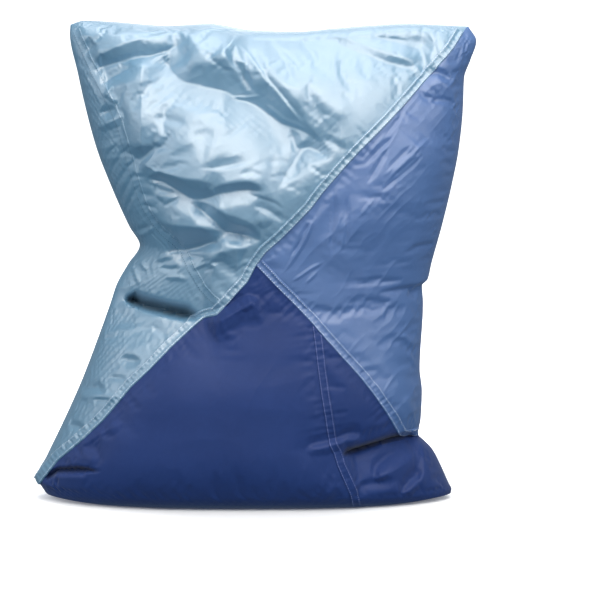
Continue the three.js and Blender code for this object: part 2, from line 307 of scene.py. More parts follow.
@dataclass(frozen=True)
class Sighting:
    """The camera of the photograph, and where a place in the picture lies on the sack.

    The picture is 590 pixels square. The floor under the middle of the rim plane lies at floor_row and
    middle_column, and a pixel is 2.6 mm wide at the sack's distance.
    """

    picture: float = 590.0
    pixel: float = 2.6
    floor_row: float = 497.0
    middle_column: float = 256.5
    distance: float = 8000.0
    elevation: float = math.radians(7.0)
    sensor: float = 36.0
    rounds: int = 12

    @property
    def aim(self) -> tuple[float, float]:
        """The point in the rim plane that the camera faces.

        Returns:
            Its reach and height in millimetres.
        """
        across = (self.picture / 2.0 - self.middle_column) * self.pixel
        seen = (self.floor_row - self.picture / 2.0) * self.pixel
        tilt = math.cos(self.elevation) - seen * math.sin(self.elevation) / self.distance
        return across, seen / tilt

    @property
    def lens(self) -> float:
        """The focal length in millimetres that gives this pixel size at this distance."""
        return self.sensor * self.distance / (self.picture * self.pixel)

    def on_cloth(self, spots: Array, lean: float, depth: Callable[[Array, Array], Array]) -> Array:
        """Follows lines of sight from the camera to the cloth.

        Each round works out the depth of the cloth at the last guess, and then the place on the line of
        sight that has this depth.

        Args:
            spots: Rows of picture column and row.
            lean: How far the rim plane leans back for each unit of height.
            depth: The depth of the cloth in front of the rim plane, from reach and height.

        Returns:
            Rows of reach and height in millimetres.
        """
        rise, level = math.sin(self.elevation), math.cos(self.elevation)
        aim_x, aim_z = self.aim
        across = (spots[:, 0] - self.picture / 2.0) * self.pixel
        up = (self.picture / 2.0 - spots[:, 1]) * self.pixel
        x, z = across + aim_x, up / level + aim_z
        for _ in range(self.rounds):
            y = lean * z - depth(x, z)
            drop = (up * (self.distance + y * level) / self.distance - y * rise) / (
                level + up * rise / self.distance
            )
            away = self.distance + y * level - drop * rise
            x, z = aim_x + across * away / self.distance, aim_z + drop
        return np.stack([x, z], axis=1)


class Crease(NamedTuple):
    """One crease of the front, read off the photograph.

    places are picture columns and rows along its line. depth is how far it is pushed in, in
    millimetres, or how far it stands out where negative. left and right are its widths on the two
    sides of its way, soft the roundness of the line itself, ease the length over which its start comes
    in, hang how far the cloth on its left sags down over it, fade the length over which its end dies
    out, the same as ease where it is 0, and shade how strongly painted shade darkens the colour inside
    a deep fold, from 0 to 1.
    """

    name: str
    places: tuple
    depth: float
    left: float
    right: float
    soft: float
    ease: float
    hang: float = 0.0
    fade: float = 0.0
    shade: float = 0.0


def creases(*rows: tuple) -> tuple[Crease, ...]:
    """Creases from rows of their fields, in the order of Crease."""
    return tuple(Crease(*row) for row in rows)


# Creases of the light upper piece.
TOP_CREASES = creases(
    ("belly crest", ((140, 160), (190, 172), (250, 182), (300, 172)), -16, 260, 190, 60, 120),
    ("top slope", ((222, 42), (300, 46), (380, 46), (446, 44)), 42, 30, 230, 24, 70),
    ("edge strip", ((72, 34), (92, 35), (112, 35), (132, 33), (152, 33)), -16, 44, 24, 1.5, 40),
    ("band top", ((90, 63), (109, 51), (129, 41), (158, 36), (182, 31)), -14, 46, 40, 1.5, 44),
    ("dark band", ((88, 72), (100, 68), (116, 64), (143, 58), (167, 51), (193, 38)), 32, 44, 60, 3, 50),
    ("dark corner", ((78, 74), (80, 62), (86, 52), (98, 44)), 18, 30, 40, 3, 30),
    ("lower dark band", ((98, 86), (112, 79), (126, 72), (140, 65)), 14, 24, 30, 1.5, 36),
    ("pale triangle", ((147, 62), (158, 58), (170, 53)), -6, 8, 26, 1.5, 20),
    ("bright edge", ((144, 56), (142, 70), (142, 88), (142, 104), (142, 122), (141, 140), (144, 158)),
     -24, 64, 60, 0.8, 30, 0.0, 40),
    ("hollow and long valley",
     ((155, 48), (163, 61), (172, 73), (182, 82), (200, 87), (225, 93), (236, 100), (255, 107), (270, 117),
      (283, 125), (300, 130), (314, 139), (323, 149), (333, 161)),
     52, 92, 160, 2, 70, 0.0, 80),
    ("long ridge",
     ((229, 33), (238, 41), (248, 53), (262, 69), (275, 82), (287, 97), (297, 111), (310, 127), (322, 141),
      (333, 156)),
     -30, 130, 80, 2, 20, 0.0, 80),
    ("fan ridge", ((222, 32), (224, 46), (228, 60), (232, 70)), -6, 26, 40, 2, 40),
    ("fan valley", ((223, 34), (230, 52), (238, 68), (247, 83), (258, 98)), 7, 20, 14, 1.5, 50),
    ("fan second valley", ((243, 43), (256, 60), (268, 78), (283, 95), (296, 111), (308, 127)),
     7, 18, 10, 1.5, 60),
    ("fan streak", ((247, 51), (258, 67), (266, 79), (276, 90), (285, 103), (295, 116), (303, 122)),
     -3, 7, 8, 1, 50),
    ("low fan streak", ((262, 103), (275, 113), (285, 121), (298, 126), (311, 133)), -3, 7, 9, 1, 40),
    ("cross streak", ((228, 98), (244, 99), (262, 97)), -3, 6, 6, 1, 30),
    ("tail fold", ((290, 128), (294, 140), (298, 148), (310, 149), (320, 153), (331, 160)),
     7, 18, 16, 1.5, 30),
    ("next fan", ((268, 36), (273, 47), (285, 63), (297, 86)), 6, 18, 30, 1.5, 50),
    ("next fan line", ((281, 49), (291, 58), (300, 68)), 4, 7, 9, 1, 20),
    ("third fan", ((301, 36), (306, 47), (320, 64)), 6, 16, 18, 1.5, 30),
    ("right band ridge", ((326, 34), (350, 40), (375, 49), (400, 57), (424, 62)), -10, 60, 20, 2, 60),
    ("right band valley", ((328, 40), (350, 51), (370, 58), (395, 66), (420, 70)), 9, 30, 60, 3, 70),
    ("far band", ((370, 35), (392, 42), (410, 48), (430, 53)), 5, 14, 20, 1.5, 40),
    ("soft line", ((346, 58), (340, 70), (349, 84), (362, 84)), 3, 16, 16, 2, 30),
    ("low soft line", ((322, 137), (338, 146), (350, 150)), 4, 16, 14, 2, 24),
    ("soft trough", ((306, 80), (310, 95), (320, 112), (338, 122), (349, 142)), 5, 26, 40, 2, 60),
    ("middle ridge", ((145, 92), (160, 97), (180, 108), (200, 120), (222, 126), (233, 147)),
     -4, 60, 34, 3, 60),
    ("middle line", ((150, 118), (170, 121), (190, 126)), 3, 14, 14, 1.5, 30),
    ("middle low line", ((148, 140), (160, 148), (176, 150)), 3, 14, 12, 1.5, 30),
    ("dent", ((188, 138), (205, 137), (222, 141)), 9, 50, 60, 10, 50),
    ("leaf", ((198, 168), (222, 167), (238, 164), (256, 159)), 4.5, 24, 8, 1.5, 60),
    ("low line", ((250, 168), (262, 164), (275, 162), (292, 163)), 3, 12, 12, 1, 30),
    ("next low line", ((268, 178), (282, 176), (292, 181)), 3, 10, 12, 1, 24),
    ("third low line", ((238, 176), (252, 172), (264, 178)), 3, 12, 12, 1.5, 24),
    ("belly ridge", ((141, 160), (150, 168), (165, 173), (185, 178), (203, 180), (220, 186)),
     -16, 120, 24, 1.5, 18, 0.0, 50),
    ("belly valley", ((146, 177), (165, 182), (180, 190), (194, 198), (210, 197), (222, 191)),
     24, 24, 46, 1.5, 40),
    ("belly right ridge", ((213, 189), (225, 185), (237, 182), (250, 181), (258, 183), (267, 189)),
     -9, 70, 18, 1.5, 40),
    ("belly right valley", ((207, 197), (222, 192), (237, 189), (251, 189), (264, 193)),
     17, 18, 42, 1.5, 40),
    ("upper bright leaf", ((150, 181), (164, 184), (177, 191)), -5, 12, 12, 1.5, 20),
    ("bright leaf", ((155, 194), (168, 195), (180, 198)), -4, 9, 14, 1.5, 18),
    ("leaf line", ((163, 205), (172, 201), (181, 196)), 4, 8, 8, 1, 16),
    ("lower ridge", ((160, 221), (180, 223), (200, 225), (215, 228), (228, 236)), -17, 60, 50, 1.5, 50),
    ("lower valley", ((163, 251), (180, 251), (192, 250), (205, 245), (216, 241), (228, 237)),
     28, 60, 36, 2, 50),
    ("dark leaf", ((190, 201), (205, 212), (215, 220), (224, 230), (236, 234), (250, 236), (262, 235)),
     27, 30, 32, 1.5, 50),
    ("dark leaf ridge", ((194, 201), (210, 204), (225, 211), (240, 216), (252, 222), (262, 232)),
     -10, 50, 26, 1.5, 50),
    ("tongue", ((200, 254), (214, 252), (228, 249), (240, 247), (250, 250)), -15, 36, 80, 2, 40),
    ("arc streak", ((192, 270), (202, 265), (211, 264), (219, 269)), -4, 7, 9, 1, 16),
    ("seam line", ((247, 192), (262, 198), (275, 203), (285, 211)), 5, 7, 24, 1, 30),
    ("next seam line", ((252, 205), (266, 208), (278, 216), (284, 224)), 6, 16, 12, 1, 30),
    ("seam pillow", ((253, 222), (264, 219), (275, 221)), -6, 20, 20, 4, 24),
    ("low seam line", ((246, 243), (254, 240), (262, 240)), 5, 12, 12, 1.5, 14),
)
# Creases of the light left piece.
LEFT_CREASES = creases(
    ("arc", ((112, 196), (118, 182), (128, 168), (136, 158)), 3, 9, 8, 1, 30),
    ("upper arc", ((108, 180), (114, 166), (124, 152), (132, 146)), 3, 9, 8, 1, 30),
    ("lower arc", ((117, 208), (124, 192), (132, 178), (138, 170)), 3, 9, 8, 1, 30),
    ("lowest arc", ((122, 218), (129, 203), (136, 190), (141, 184)), 3, 9, 8, 1, 26),
    ("top arc", ((104, 164), (110, 152), (120, 141)), 3, 9, 8, 1, 26),
    ("facet", ((92, 131), (103, 124), (118, 118), (126, 111)), -7, 24, 22, 1.5, 40),
    ("hollow", ((98, 112), (108, 112), (118, 108)), 11, 24, 20, 2, 26),
    ("bright bit", ((101, 92), (110, 97), (119, 104)), -5, 12, 9, 1.5, 18),
    ("next bright bit", ((114, 82), (108, 92), (104, 97)), -4, 8, 8, 1, 16),
    ("notch line", ((133, 231), (141, 229), (150, 226)), 6, 10, 12, 1.5, 16),
    ("notch bright", ((134, 238), (143, 234), (155, 226)), -4, 9, 10, 1, 16),
    ("under the notch", ((131, 262), (135, 274), (140, 289)), -5, 8, 8, 1, 26),
    ("next under the notch", ((139, 258), (143, 266), (148, 273)), -4, 8, 8, 1, 16),
    ("waist line", ((155, 262), (165, 257), (176, 255), (186, 256)), -4, 9, 12, 1, 24),
    ("second waist line", ((158, 268), (170, 270), (182, 268)), 4, 10, 9, 1, 20),
    ("third waist line", ((164, 279), (176, 277), (187, 281)), -4, 9, 12, 1, 20),
    ("waist slope", ((92, 296), (125, 300), (150, 306), (175, 312), (200, 315), (226, 311)),
     36, 150, 120, 8, 60),
    # The waist pocket's last value paints shade into the pocket.
    ("waist pocket", ((122, 300), (128, 303), (141, 309), (156, 313), (177, 318), (194, 320), (206, 316)),
     60, 38, 7, 1, 30, 0.0, 60, 0.95),
    ("pocket lip", ((118, 303), (140, 311), (156, 315), (177, 320), (192, 321), (206, 316)),
     -5, 6, 40, 1.5, 24),
    ("lower light", ((128, 322), (148, 318), (172, 319)), -4, 18, 24, 3, 30),
    ("lower line", ((150, 326), (162, 334), (170, 338)), 4, 9, 12, 1, 20),
    ("lower dark", ((118, 359), (130, 361), (142, 360)), 9, 18, 22, 2, 24),
    ("rim line", ((106, 378), (116, 378), (128, 379)), 4, 8, 11, 1, 20),
    ("rim dark", ((79, 388), (90, 388), (106, 387)), 10, 20, 20, 2, 24),
    ("rim light", ((79, 398), (90, 394), (104, 395)), -5, 12, 12, 1.5, 20),
    ("low rim line", ((92, 399), (102, 400), (112, 399)), 4, 7, 10, 1, 16),
    ("corner dark", ((66, 424), (76, 427), (86, 430)), 9, 18, 16, 2, 20),
)
# Creases of the mid blue right piece.
RIGHT_CREASES = creases(
    ("facet edge", ((436, 130), (414, 160), (390, 187), (366, 214), (340, 250), (318, 276)),
     -15, 120, 70, 3, 80),
    ("ridge by the point", ((315, 217), (309, 231), (303, 243), (296, 254), (288, 266), (282, 274)),
     -4, 8, 8, 1, 40),
    ("valley by the point", ((311, 220), (303, 234), (297, 246), (289, 257)), 5, 8, 9, 1.5, 30),
    ("second ridge by the point", ((324, 261), (311, 268), (301, 275), (290, 282)), -3, 6, 7, 1, 26),
    ("third ridge by the point", ((319, 269), (312, 276), (304, 284)), -2.5, 6, 6, 1, 20),
    ("upright", ((333, 184), (334, 200), (333, 222), (332, 242), (332, 260)), 5, 12, 9, 1, 60),
    ("second upright", ((349, 192), (346, 206), (346, 224), (343, 250)), 5, 12, 9, 1, 50),
    ("upright streak", ((342, 211), (338, 222), (335, 230)), -3, 6, 6, 1, 18),
    ("second upright streak", ((346, 213), (344, 230), (341, 250)), -3, 7, 7, 1, 30),
    ("slant streak", ((375, 196), (367, 206), (357, 218)), -3, 8, 9, 1, 26),
    ("slant ridge", ((432, 134), (418, 148), (402, 163), (386, 179)), -4.5, 12, 9, 1, 50),
    ("slant valley", ((411, 144), (397, 159), (383, 173)), 4.5, 9, 10, 1, 36),
    ("next slant valley", ((422, 154), (403, 171), (386, 186), (378, 192)), 5, 10, 12, 1, 40),
    ("next slant ridge", ((418, 156), (404, 169), (390, 181)), -3, 7, 7, 1, 30),
    ("steep line", ((388, 147), (376, 168), (366, 184)), 5, 11, 11, 1, 30),
    ("second steep line", ((394, 137), (381, 147), (372, 156), (364, 166)), 5, 10, 12, 1, 30),
    ("corner dark", ((428, 76), (438, 73), (450, 80)), 9, 14, 14, 2, 16),
    ("corner bright", ((423, 98), (432, 86), (445, 84), (457, 100)), -7, 20, 22, 2, 20),
    ("corner line", ((430, 102), (440, 100), (455, 104)), 5, 12, 14, 1.5, 16),
    ("line by the seam", ((398, 121), (404, 108), (412, 98)), 4, 9, 9, 1, 20),
    ("second line by the seam", ((382, 138), (392, 127), (402, 115)), 4, 8, 9, 1, 22),
    ("waist notch", ((430, 286), (419, 289), (406, 297)), 14, 20, 20, 2, 20),
    ("low line", ((398, 338), (406, 337), (413, 345)), -4, 9, 9, 1, 14),
    ("second low line", ((404, 352), (412, 358), (418, 368)), -4, 9, 10, 1, 18),
    ("third low line", ((398, 398), (408, 404), (414, 418)), -4, 16, 16, 2, 24),
)
# Creases of the two navy pieces.
NAVY_CREASES = creases(
    ("line under the seam", ((214, 312), (232, 303), (246, 293)), 5, 12, 12, 1.5, 24),
    ("seam ridge", ((202, 324), (222, 319), (240, 309), (262, 297)), -22, 24, 60, 2, 34),
    ("left ridge", ((74, 450), (93, 438), (107, 430), (126, 422)), -7, 16, 18, 2, 40),
    ("left swell", ((62, 459), (82, 456), (104, 460)), -6, 22, 20, 5, 34),
    # The left tuck's last value paints shade into the tuck.
    ("left tuck", ((44, 481), (52, 475), (61, 471), (84, 470), (104, 471)),
     24, 12, 7, 1.5, 26, 0.0, 60, 0.85),
    ("left tuck lip", ((52, 479), (70, 476), (92, 477)), -4, 6, 20, 2, 24),
    # The right tuck's last value paints shade into the tuck.
    ("right tuck", ((342, 456), (358, 452), (377, 446), (396, 440), (417, 435)),
     44, 22, 7, 1.5, 20, 6.0, 0.0, 0.9),
    ("right tuck slope", ((338, 458), (358, 453), (377, 447), (396, 441), (419, 436)), 14, 60, 24, 3, 30),
    ("ear slope", ((344, 460), (367, 453), (396, 446), (424, 438)), 38, 16, 120, 3, 30),
    ("right tuck lip", ((344, 459), (367, 452), (396, 445), (415, 438)), -6, 6, 30, 2, 24),
    ("join bump", ((304, 452), (324, 447), (347, 441), (365, 438)), -9, 18, 20, 2, 36),
    ("join hollow", ((306, 444), (325, 442), (345, 434), (366, 433)), 8, 30, 13, 2, 34),
    ("ear ridge", ((372, 483), (386, 474), (400, 466), (413, 457), (422, 449)), -18, 34, 30, 2, 36),
    ("ear valley", ((371, 477), (382, 462), (396, 451), (405, 444)), 9, 20, 26, 2, 30),
    ("ear second valley", ((398, 494), (406, 485), (415, 476), (424, 470)), 11, 24, 16, 1.5, 26),
    ("ear second ridge", ((402, 495), (415, 484), (426, 474)), -7, 12, 22, 1.5, 20),
    ("ear dark", ((356, 488), (376, 484), (394, 478)), 9, 16, 26, 2, 24),
    ("join pucker", ((322, 358), (334, 357), (346, 358)), 2.5, 9, 9, 1, 18),
    ("second join pucker", ((324, 388), (336, 387), (348, 388)), 2.5, 9, 9, 1, 18),
    ("third join pucker", ((330, 412), (340, 413), (350, 411)), 2.5, 9, 9, 1, 18),
    ("pucker left of the join", ((300, 362), (310, 361), (316, 361)), 2.5, 9, 9, 1, 14),
)


def read_at(at: Array, run: Array, values: Array) -> Array:
    """Rows of values read between their points at distances along a run."""
    return np.stack([np.interp(at, run, column) for column in values.T], axis=1)


class Trail:
    """A line over the sack in reach and height, with distances measured from it."""

    blend: ClassVar[float] = 0.25
    closest: ClassVar[float] = 0.01

    def __init__(self, points: Array, smooth: int = 1) -> None:
        """Lays the line out.

        Args:
            points: Rows of reach and height.
            smooth: Pieces into which each stretch is split along a Catmull-Rom curve.
        """
        if smooth > 1:
            points = self.rounded(points, smooth)
        self.points = points
        self.step = np.diff(points, axis=0)
        self.reach = np.hypot(self.step[:, 0], self.step[:, 1])
        self.along = np.concatenate(([0.0], np.cumsum(self.reach)))

    @staticmethod
    def rounded(points: Array, pieces: int) -> Array:
        """The Catmull-Rom curve through points, with the end points doubled.

        Args:
            points: Rows of reach and height.
            pieces: Pieces into which each stretch between two points is split.

        Returns:
            Rows of reach and height along the curve.
        """
        before = np.vstack([points[:1], points[:-2], points[-2:-1]])[: len(points) - 1]
        start, end = points[:-1], points[1:]
        after = np.vstack([points[2:], points[-1:]])
        t = np.linspace(0.0, 1.0, pieces, endpoint=False)[None, :, None]
        a, b, c, d = before[:, None], start[:, None], end[:, None], after[:, None]
        run = 0.5 * (
            2.0 * b + (c - a) * t + (2.0 * a - 5.0 * b + 4.0 * c - d) * t**2
            + (3.0 * b - a - 3.0 * c + d) * t**3
        )
        return np.vstack([run.reshape(-1, 2), points[-1:]])

    def measure(self, x: Array, z: Array) -> tuple[Array, Array]:
        """Distances of places from the line.

        Args:
            x: Reaches of the places.
            z: Their heights.

        Returns:
            How far along the line the nearest point is, and how far the place is from it, positive on
            the left of the line's way.
        """
        nearest = np.full(x.shape, np.inf)
        along = np.zeros(x.shape)
        across = np.zeros(x.shape)
        for start, step, reach, run in zip(self.points, self.step, self.reach, self.along):
            dx, dz = x - start[0], z - start[1]
            share = np.clip((dx * step[0] + dz * step[1]) / reach**2, 0.0, 1.0)
            away = np.hypot(dx - share * step[0], dz - share * step[1])
            closer = away < nearest
            turned = np.where(step[0] * dz - step[1] * dx >= 0.0, 1.0, -1.0)
            nearest = np.where(closer, away, nearest)
            along = np.where(closer, run + share * reach, along)
            across = np.where(closer, turned * away, across)
        return along, across

    def spread(self, x: Array, z: Array) -> tuple[Array, Array, Array]:
        """Distances of places from the line, without a jump where two stretches of it are as near.

        Each stretch counts by exp(-(away / nearest - 1) / blend), so close to the line only the nearest
        one does, and by the cube of that for the distance along the line.

        Args:
            x: Reaches of the places.
            z: Their heights.

        Returns:
            How far along the line the nearest point is, how far the place is from it, and which side it
            is on: 1 on the left of the line's way, -1 on the right, and between them past its ends.
        """
        dx = x[None] - self.points[:-1, 0, None]
        dz = z[None] - self.points[:-1, 1, None]
        step_x, step_z = self.step[:, 0, None], self.step[:, 1, None]
        share = np.clip((dx * step_x + dz * step_z) / self.reach[:, None] ** 2, 0.0, 1.0)
        away = np.maximum(np.hypot(dx - share * step_x, dz - share * step_z), self.closest)
        weight = np.exp(-(away / away.min(axis=0) - 1.0) / self.blend)
        weight /= weight.sum(axis=0)
        side = (step_x * dz - step_z * dx) / (self.reach[:, None] * away)
        sharp = weight**3
        along = (sharp * (self.along[:-1, None] + share * self.reach[:, None])).sum(axis=0)
        along /= sharp.sum(axis=0)
        return along, (weight * away).sum(axis=0), np.clip((weight * side).sum(axis=0), -1.0, 1.0)

    def shifted(self, gap: float) -> Trail:
        """The line moved sideways, each point along the left normal of the run through it.

        Args:
            gap: How far, to the left of the line's way where positive.

        Returns:
            The moved line.
        """
        run = np.gradient(self.points, axis=0)
        run = run / np.hypot(run[:, 0], run[:, 1])[:, None]
        return Trail(self.points + gap * np.stack([-run[:, 1], run[:, 0]], axis=1))

    def spaced(self, pitch: float) -> Trail:
        """The same line with evenly spaced points, about a pitch apart."""
        count = max(2, int(round(self.along[-1] / pitch)) + 1)
        return Trail(read_at(np.linspace(0.0, self.along[-1], count), self.along, self.points))


# Points that two of the seams share, and the seams, as reach and height in millimetres.
CROSSING = (1, 630)
LEFT_CROSSING = (-89, 513)
NAVY_JOIN_TOP = (143, 483)
SEAM_LINES = {
    "main": (
        (620, 1290), (540, 1223), (506, 1174), (454, 1116), (401, 1059), (341, 996), (265, 923),
        (218, 872), (170, 817), (139, 775), (103, 738), (62, 697), (25, 663), CROSSING, (-21, 587),
        (-53, 553), (-78, 524), LEFT_CROSSING, (-100, 502), (-134, 490), (-159, 470), (-219, 416),
        (-273, 360), (-319, 316), (-366, 258), (-394, 225), (-454, 166), (-512, 113), (-549, 65),
        (-600, -10),
    ),
    "top left": (
        LEFT_CROSSING, (-124, 541), (-145, 563), (-173, 610), (-194, 654), (-217, 678), (-246, 703),
        (-271, 733), (-292, 766), (-307, 802), (-325, 861), (-342, 930), (-358, 983), (-379, 1028),
        (-438, 1138), (-476, 1219), (-510, 1300),
    ),
    "right": (
        CROSSING, (49, 580), (93, 535), NAVY_JOIN_TOP, (180, 440), (236, 377), (269, 339), (298, 301),
        (326, 259), (344, 229), (360, 200), (371, 181), (395, 170), (430, 167), (560, 162),
    ),
    "navy join": (
        NAVY_JOIN_TOP, (150, 431), (157, 371), (165, 309), (174, 255), (182, 201), (187, 175), (198, 151),
        (208, 119), (221, 88), (241, 41), (256, -30),
    ),
}


LATTICE_SIDE = 64
LATTICE_START = (31.7, 17.3)


def lattice(x: Array, z: Array, cell: float, seed: int) -> Array:
    """Smooth seeded noise from -1 to 1.

    A random value stands at each corner of a square lattice, and between corners it is blended with
    6 s^5 - 15 s^4 + 10 s^3 both ways.

    Args:
        x: Reaches in millimetres.
        z: Heights in millimetres.
        cell: Size of a lattice square.
        seed: Which pattern.

    Returns:
        The noise at each place.
    """
    values = np.random.default_rng(seed).uniform(-1.0, 1.0, (LATTICE_SIDE, LATTICE_SIDE))
    gx, gz = x / cell + LATTICE_START[0], z / cell + LATTICE_START[1]
    ix, iz = np.floor(gx).astype(int), np.floor(gz).astype(int)
    sx, sz = gx - ix, gz - iz
    wx = sx**3 * (sx * (6.0 * sx - 15.0) + 10.0)
    wz = sz**3 * (sz * (6.0 * sz - 15.0) + 10.0)
    left, right = ix % LATTICE_SIDE, (ix + 1) % LATTICE_SIDE
    below, above = iz % LATTICE_SIDE, (iz + 1) % LATTICE_SIDE
    low = values[left, below] * (1 - wx) + values[right, below] * wx
    high = values[left, above] * (1 - wx) + values[right, above] * wx
    return low * (1 - wz) + high * wz


class Crumple(NamedTuple):
    """One run of crumples: its cell along and across its lay, the lay's angle, height and seed.

    warp is how far its lines wander and warp_cell the cell of that wandering, both as shares of the
    short cell. warp_seeds are added to the seed for the wandering in reach and in height, middle is the
    level about which the relief lies, and edge how much its sharp lines are rounded.
    """

    long: float
    short: float
    angle: float
    height: float
    seed: int
    warp: float = 0.35
    warp_cell: float = 2.2
    warp_seeds: tuple = (50, 90)
    middle: float = 0.5
    edge: float = 0.0008

    def relief(self, x: Array, z: Array) -> Array:
        """Sharp creases between rounded facets: the height times the middle less the size of the noise.

        Args:
            x: Reaches.
            z: Heights.

        Returns:
            How far the crumples stand out at each place.
        """
        turn = math.radians(self.angle)
        cell = self.warp_cell * self.short
        seeds = [self.seed + more for more in self.warp_seeds]
        wander = [self.warp * self.short * lattice(x, z, cell, seed) for seed in seeds]
        x, z = x + wander[0], z + wander[1]
        along = x * math.cos(turn) + z * math.sin(turn)
        across = z * math.cos(turn) - x * math.sin(turn)
        noise = lattice(along * self.short / self.long, across, self.short, self.seed)
        return self.height * (self.middle - np.sqrt(noise**2 + self.edge))


@dataclass
class Cloth:
    """The whole surface of the sack: the filled form with its creases, crumples and puckers.

    seam_puckers holds the height, pitch and reach of the puckers of each seam, and the pairs of seeds
    are those of the drift and the swell of the puckers.
    """

    form: SackForm = field(default_factory=SackForm)
    sighting: Sighting = field(default_factory=Sighting)
    fold_room: float = 90.0
    gather_room: float = 0.16
    rim_close: float = 9.0
    probe: float = 0.8

    crease_pieces: int = 4
    crease_margin: float = 2.0
    facet_blend: float = 0.02
    narrowest: float = 0.35
    hang_rise: float = 6.0
    hang_reach: float = 26.0
    shade_rise: float = 0.5
    shade_full: float = 0.2

    seam_puckers: dict = field(default_factory=lambda: {
        "main": (0.8, 22.0, 26.0), "top left": (0.45, 15.0, 16.0), "right": (0.8, 20.0, 26.0),
        "navy join": (0.9, 18.0, 26.0),
    })
    pucker_drift: float = 3.6
    pucker_cell: float = 60.0
    pucker_swell: float = 0.5
    pucker_seeds: tuple = (200, 210)
    rim_pucker: float = 1.0
    rim_pucker_pitch: float = 34.0
    rim_pucker_reach: float = 46.0
    rim_drift: float = 3.0
    rim_drift_cell: float = 90.0
    rim_drift_slant: float = 0.3
    rim_swell: tuple = (0.55, 0.45)
    rim_swell_cell: float = 150.0
    rim_seeds: tuple = (300, 310)

    seam_blend: float = 16.0
    light_crumple: tuple = (
        Crumple(90, 46, -25, 1.7, 11), Crumple(54, 24, 20, 0.8, 12), Crumple(24, 11, -40, 0.4, 13),
    )
    left_crumple: tuple = (Crumple(70, 24, 58, 0.9, 31), Crumple(110, 50, 25, 4.5, 32))
    mid_crumple: tuple = (Crumple(150, 60, 55, 6.0, 41), Crumple(110, 22, 48, 2.0, 42))
    navy_crumple: tuple = (Crumple(160, 80, 0, 2.4, 51), Crumple(60, 30, 60, 0.7, 52))
    back_crumple: tuple = (
        Crumple(160, 60, 35, 4.5, 61), Crumple(80, 30, -30, 2.0, 62), Crumple(30, 13, 10, 0.7, 63),
    )

    settled: dict = field(default_factory=dict)

    def __post_init__(self) -> None:
        """Carries the creases and seams onto the sack."""
        self.creases = [
            (crease, Trail(self.sighted(crease.places), self.crease_pieces))
            for crease in TOP_CREASES + LEFT_CREASES + RIGHT_CREASES + NAVY_CREASES
        ]
        self.seams = {name: Trail(np.array(points, dtype=float)) for name, points in SEAM_LINES.items()}

    def sighted(self, places: tuple) -> Array:
        """Finds where places in the picture lie on the smooth sack.

        Args:
            places: Picture columns and rows.

        Returns:
            Rows of reach and height.
        """

        def depth(x: Array, z: Array) -> Array:
            """How far the smooth front stands out from the rim plane."""
            u, v = self.form.shares(x, z)
            return self.form.rim_half + self.form.fullness(Side.FRONT, u, v, z)

        return self.sighting.on_cloth(np.array(places, dtype=float), self.form.lean, depth)

    def crease_push(self, x: Array, z: Array) -> tuple[Array, Array, Array]:
        """How far the creases push the front in, how far they let it sag, and the shade painted into them.

        Across its line a crease falls off as the smooth top of 1 - q, with q the distance over the
        width, so it is a fold between two nearly flat facets. Along its line it comes in and out with a
        smooth step, and the facets narrow with it. A hanging crease lets the cloth on its left sag by
        exp(-away / hang_reach). The painted shade, which darkens the colour of a deep crease, lies
        within its width and fades at its ends.

        Args:
            x: Reaches.
            z: Heights.

        Returns:
            The push in and the sag, in millimetres, and the painted shade from 0 to 1.
        """
        push, sag, shade = np.zeros(x.shape), np.zeros(x.shape), np.zeros(x.shape)
        for crease, trail in self.creases:
            margin = self.crease_margin * max(crease.left, crease.right)
            low, high = trail.points.min(axis=0) - margin, trail.points.max(axis=0) + margin
            near = (x > low[0]) & (x < high[0]) & (z > low[1]) & (z < high[1])
            along, away, side = trail.spread(x[near], z[near])
            length = trail.along[-1]
            ease = min(crease.ease, length / 2.0)
            fade = min(crease.fade or crease.ease, length - ease)
            ends = smooth_step(0.0, ease, along) * smooth_step(0.0, fade, length - along)
            wide = crease.right + (crease.left - crease.right) * 0.5 * (side + 1.0)
            width = wide * (self.narrowest + (1.0 - self.narrowest) * ends)
            left = 1.0 - (np.sqrt(away**2 + crease.soft**2) - crease.soft) / width
            fall = 0.5 * (left + np.sqrt(left**2 + self.facet_blend))
            fall -= self.facet_blend / (4.0 * (1.0 + np.abs(left)))
            push[near] += crease.depth * ends * fall
            if crease.hang:
                above = np.exp(-np.maximum(side * away, 0.0) / self.hang_reach)
                sag[near] += crease.hang * ends * (smooth_step(0.0, self.hang_rise, side * away) * above)
            # Painted shade: how much the colour inside this deep fold is darkened to stand in for its
            # shadow.
            if crease.shade:
                inside = 1.0 - smooth_step(self.shade_full, 1.0, away / width)
                dark = smooth_step(0.0, self.shade_rise, ends) * inside
                shade[near] = np.maximum(shade[near], crease.shade * dark)
        return push, sag, shade

    def crumpled(self, side: Side, x: Array, z: Array, seams: Distances) -> Array:
        """Height of the crumples, each kind of them fading out over the seams that bound its cloth.

        Args:
            side: The half asked for.
            x: Reaches.
            z: Heights.
            seams: Distances along and from each seam, which the back doesn't need.

        Returns:
            How far they stand out.
        """
        if side is Side.BACK:
            return sum(run.relief(x, z) for run in self.back_crumple)
        blend = self.seam_blend
        past = {name: smooth_step(-blend, blend, away) for name, (_, away) in seams.items()}
        lower = past["main"]
        left = past["top left"] * (1.0 - lower)
        mid = lower * past["right"]
        kinds = (
            (self.light_crumple, (1.0 - lower) * (1.0 - left)), (self.left_crumple, left),
            (self.mid_crumple, mid), (self.navy_crumple, lower - mid),
        )
        return sum(share * run.relief(x, z) for runs, share in kinds for run in runs)

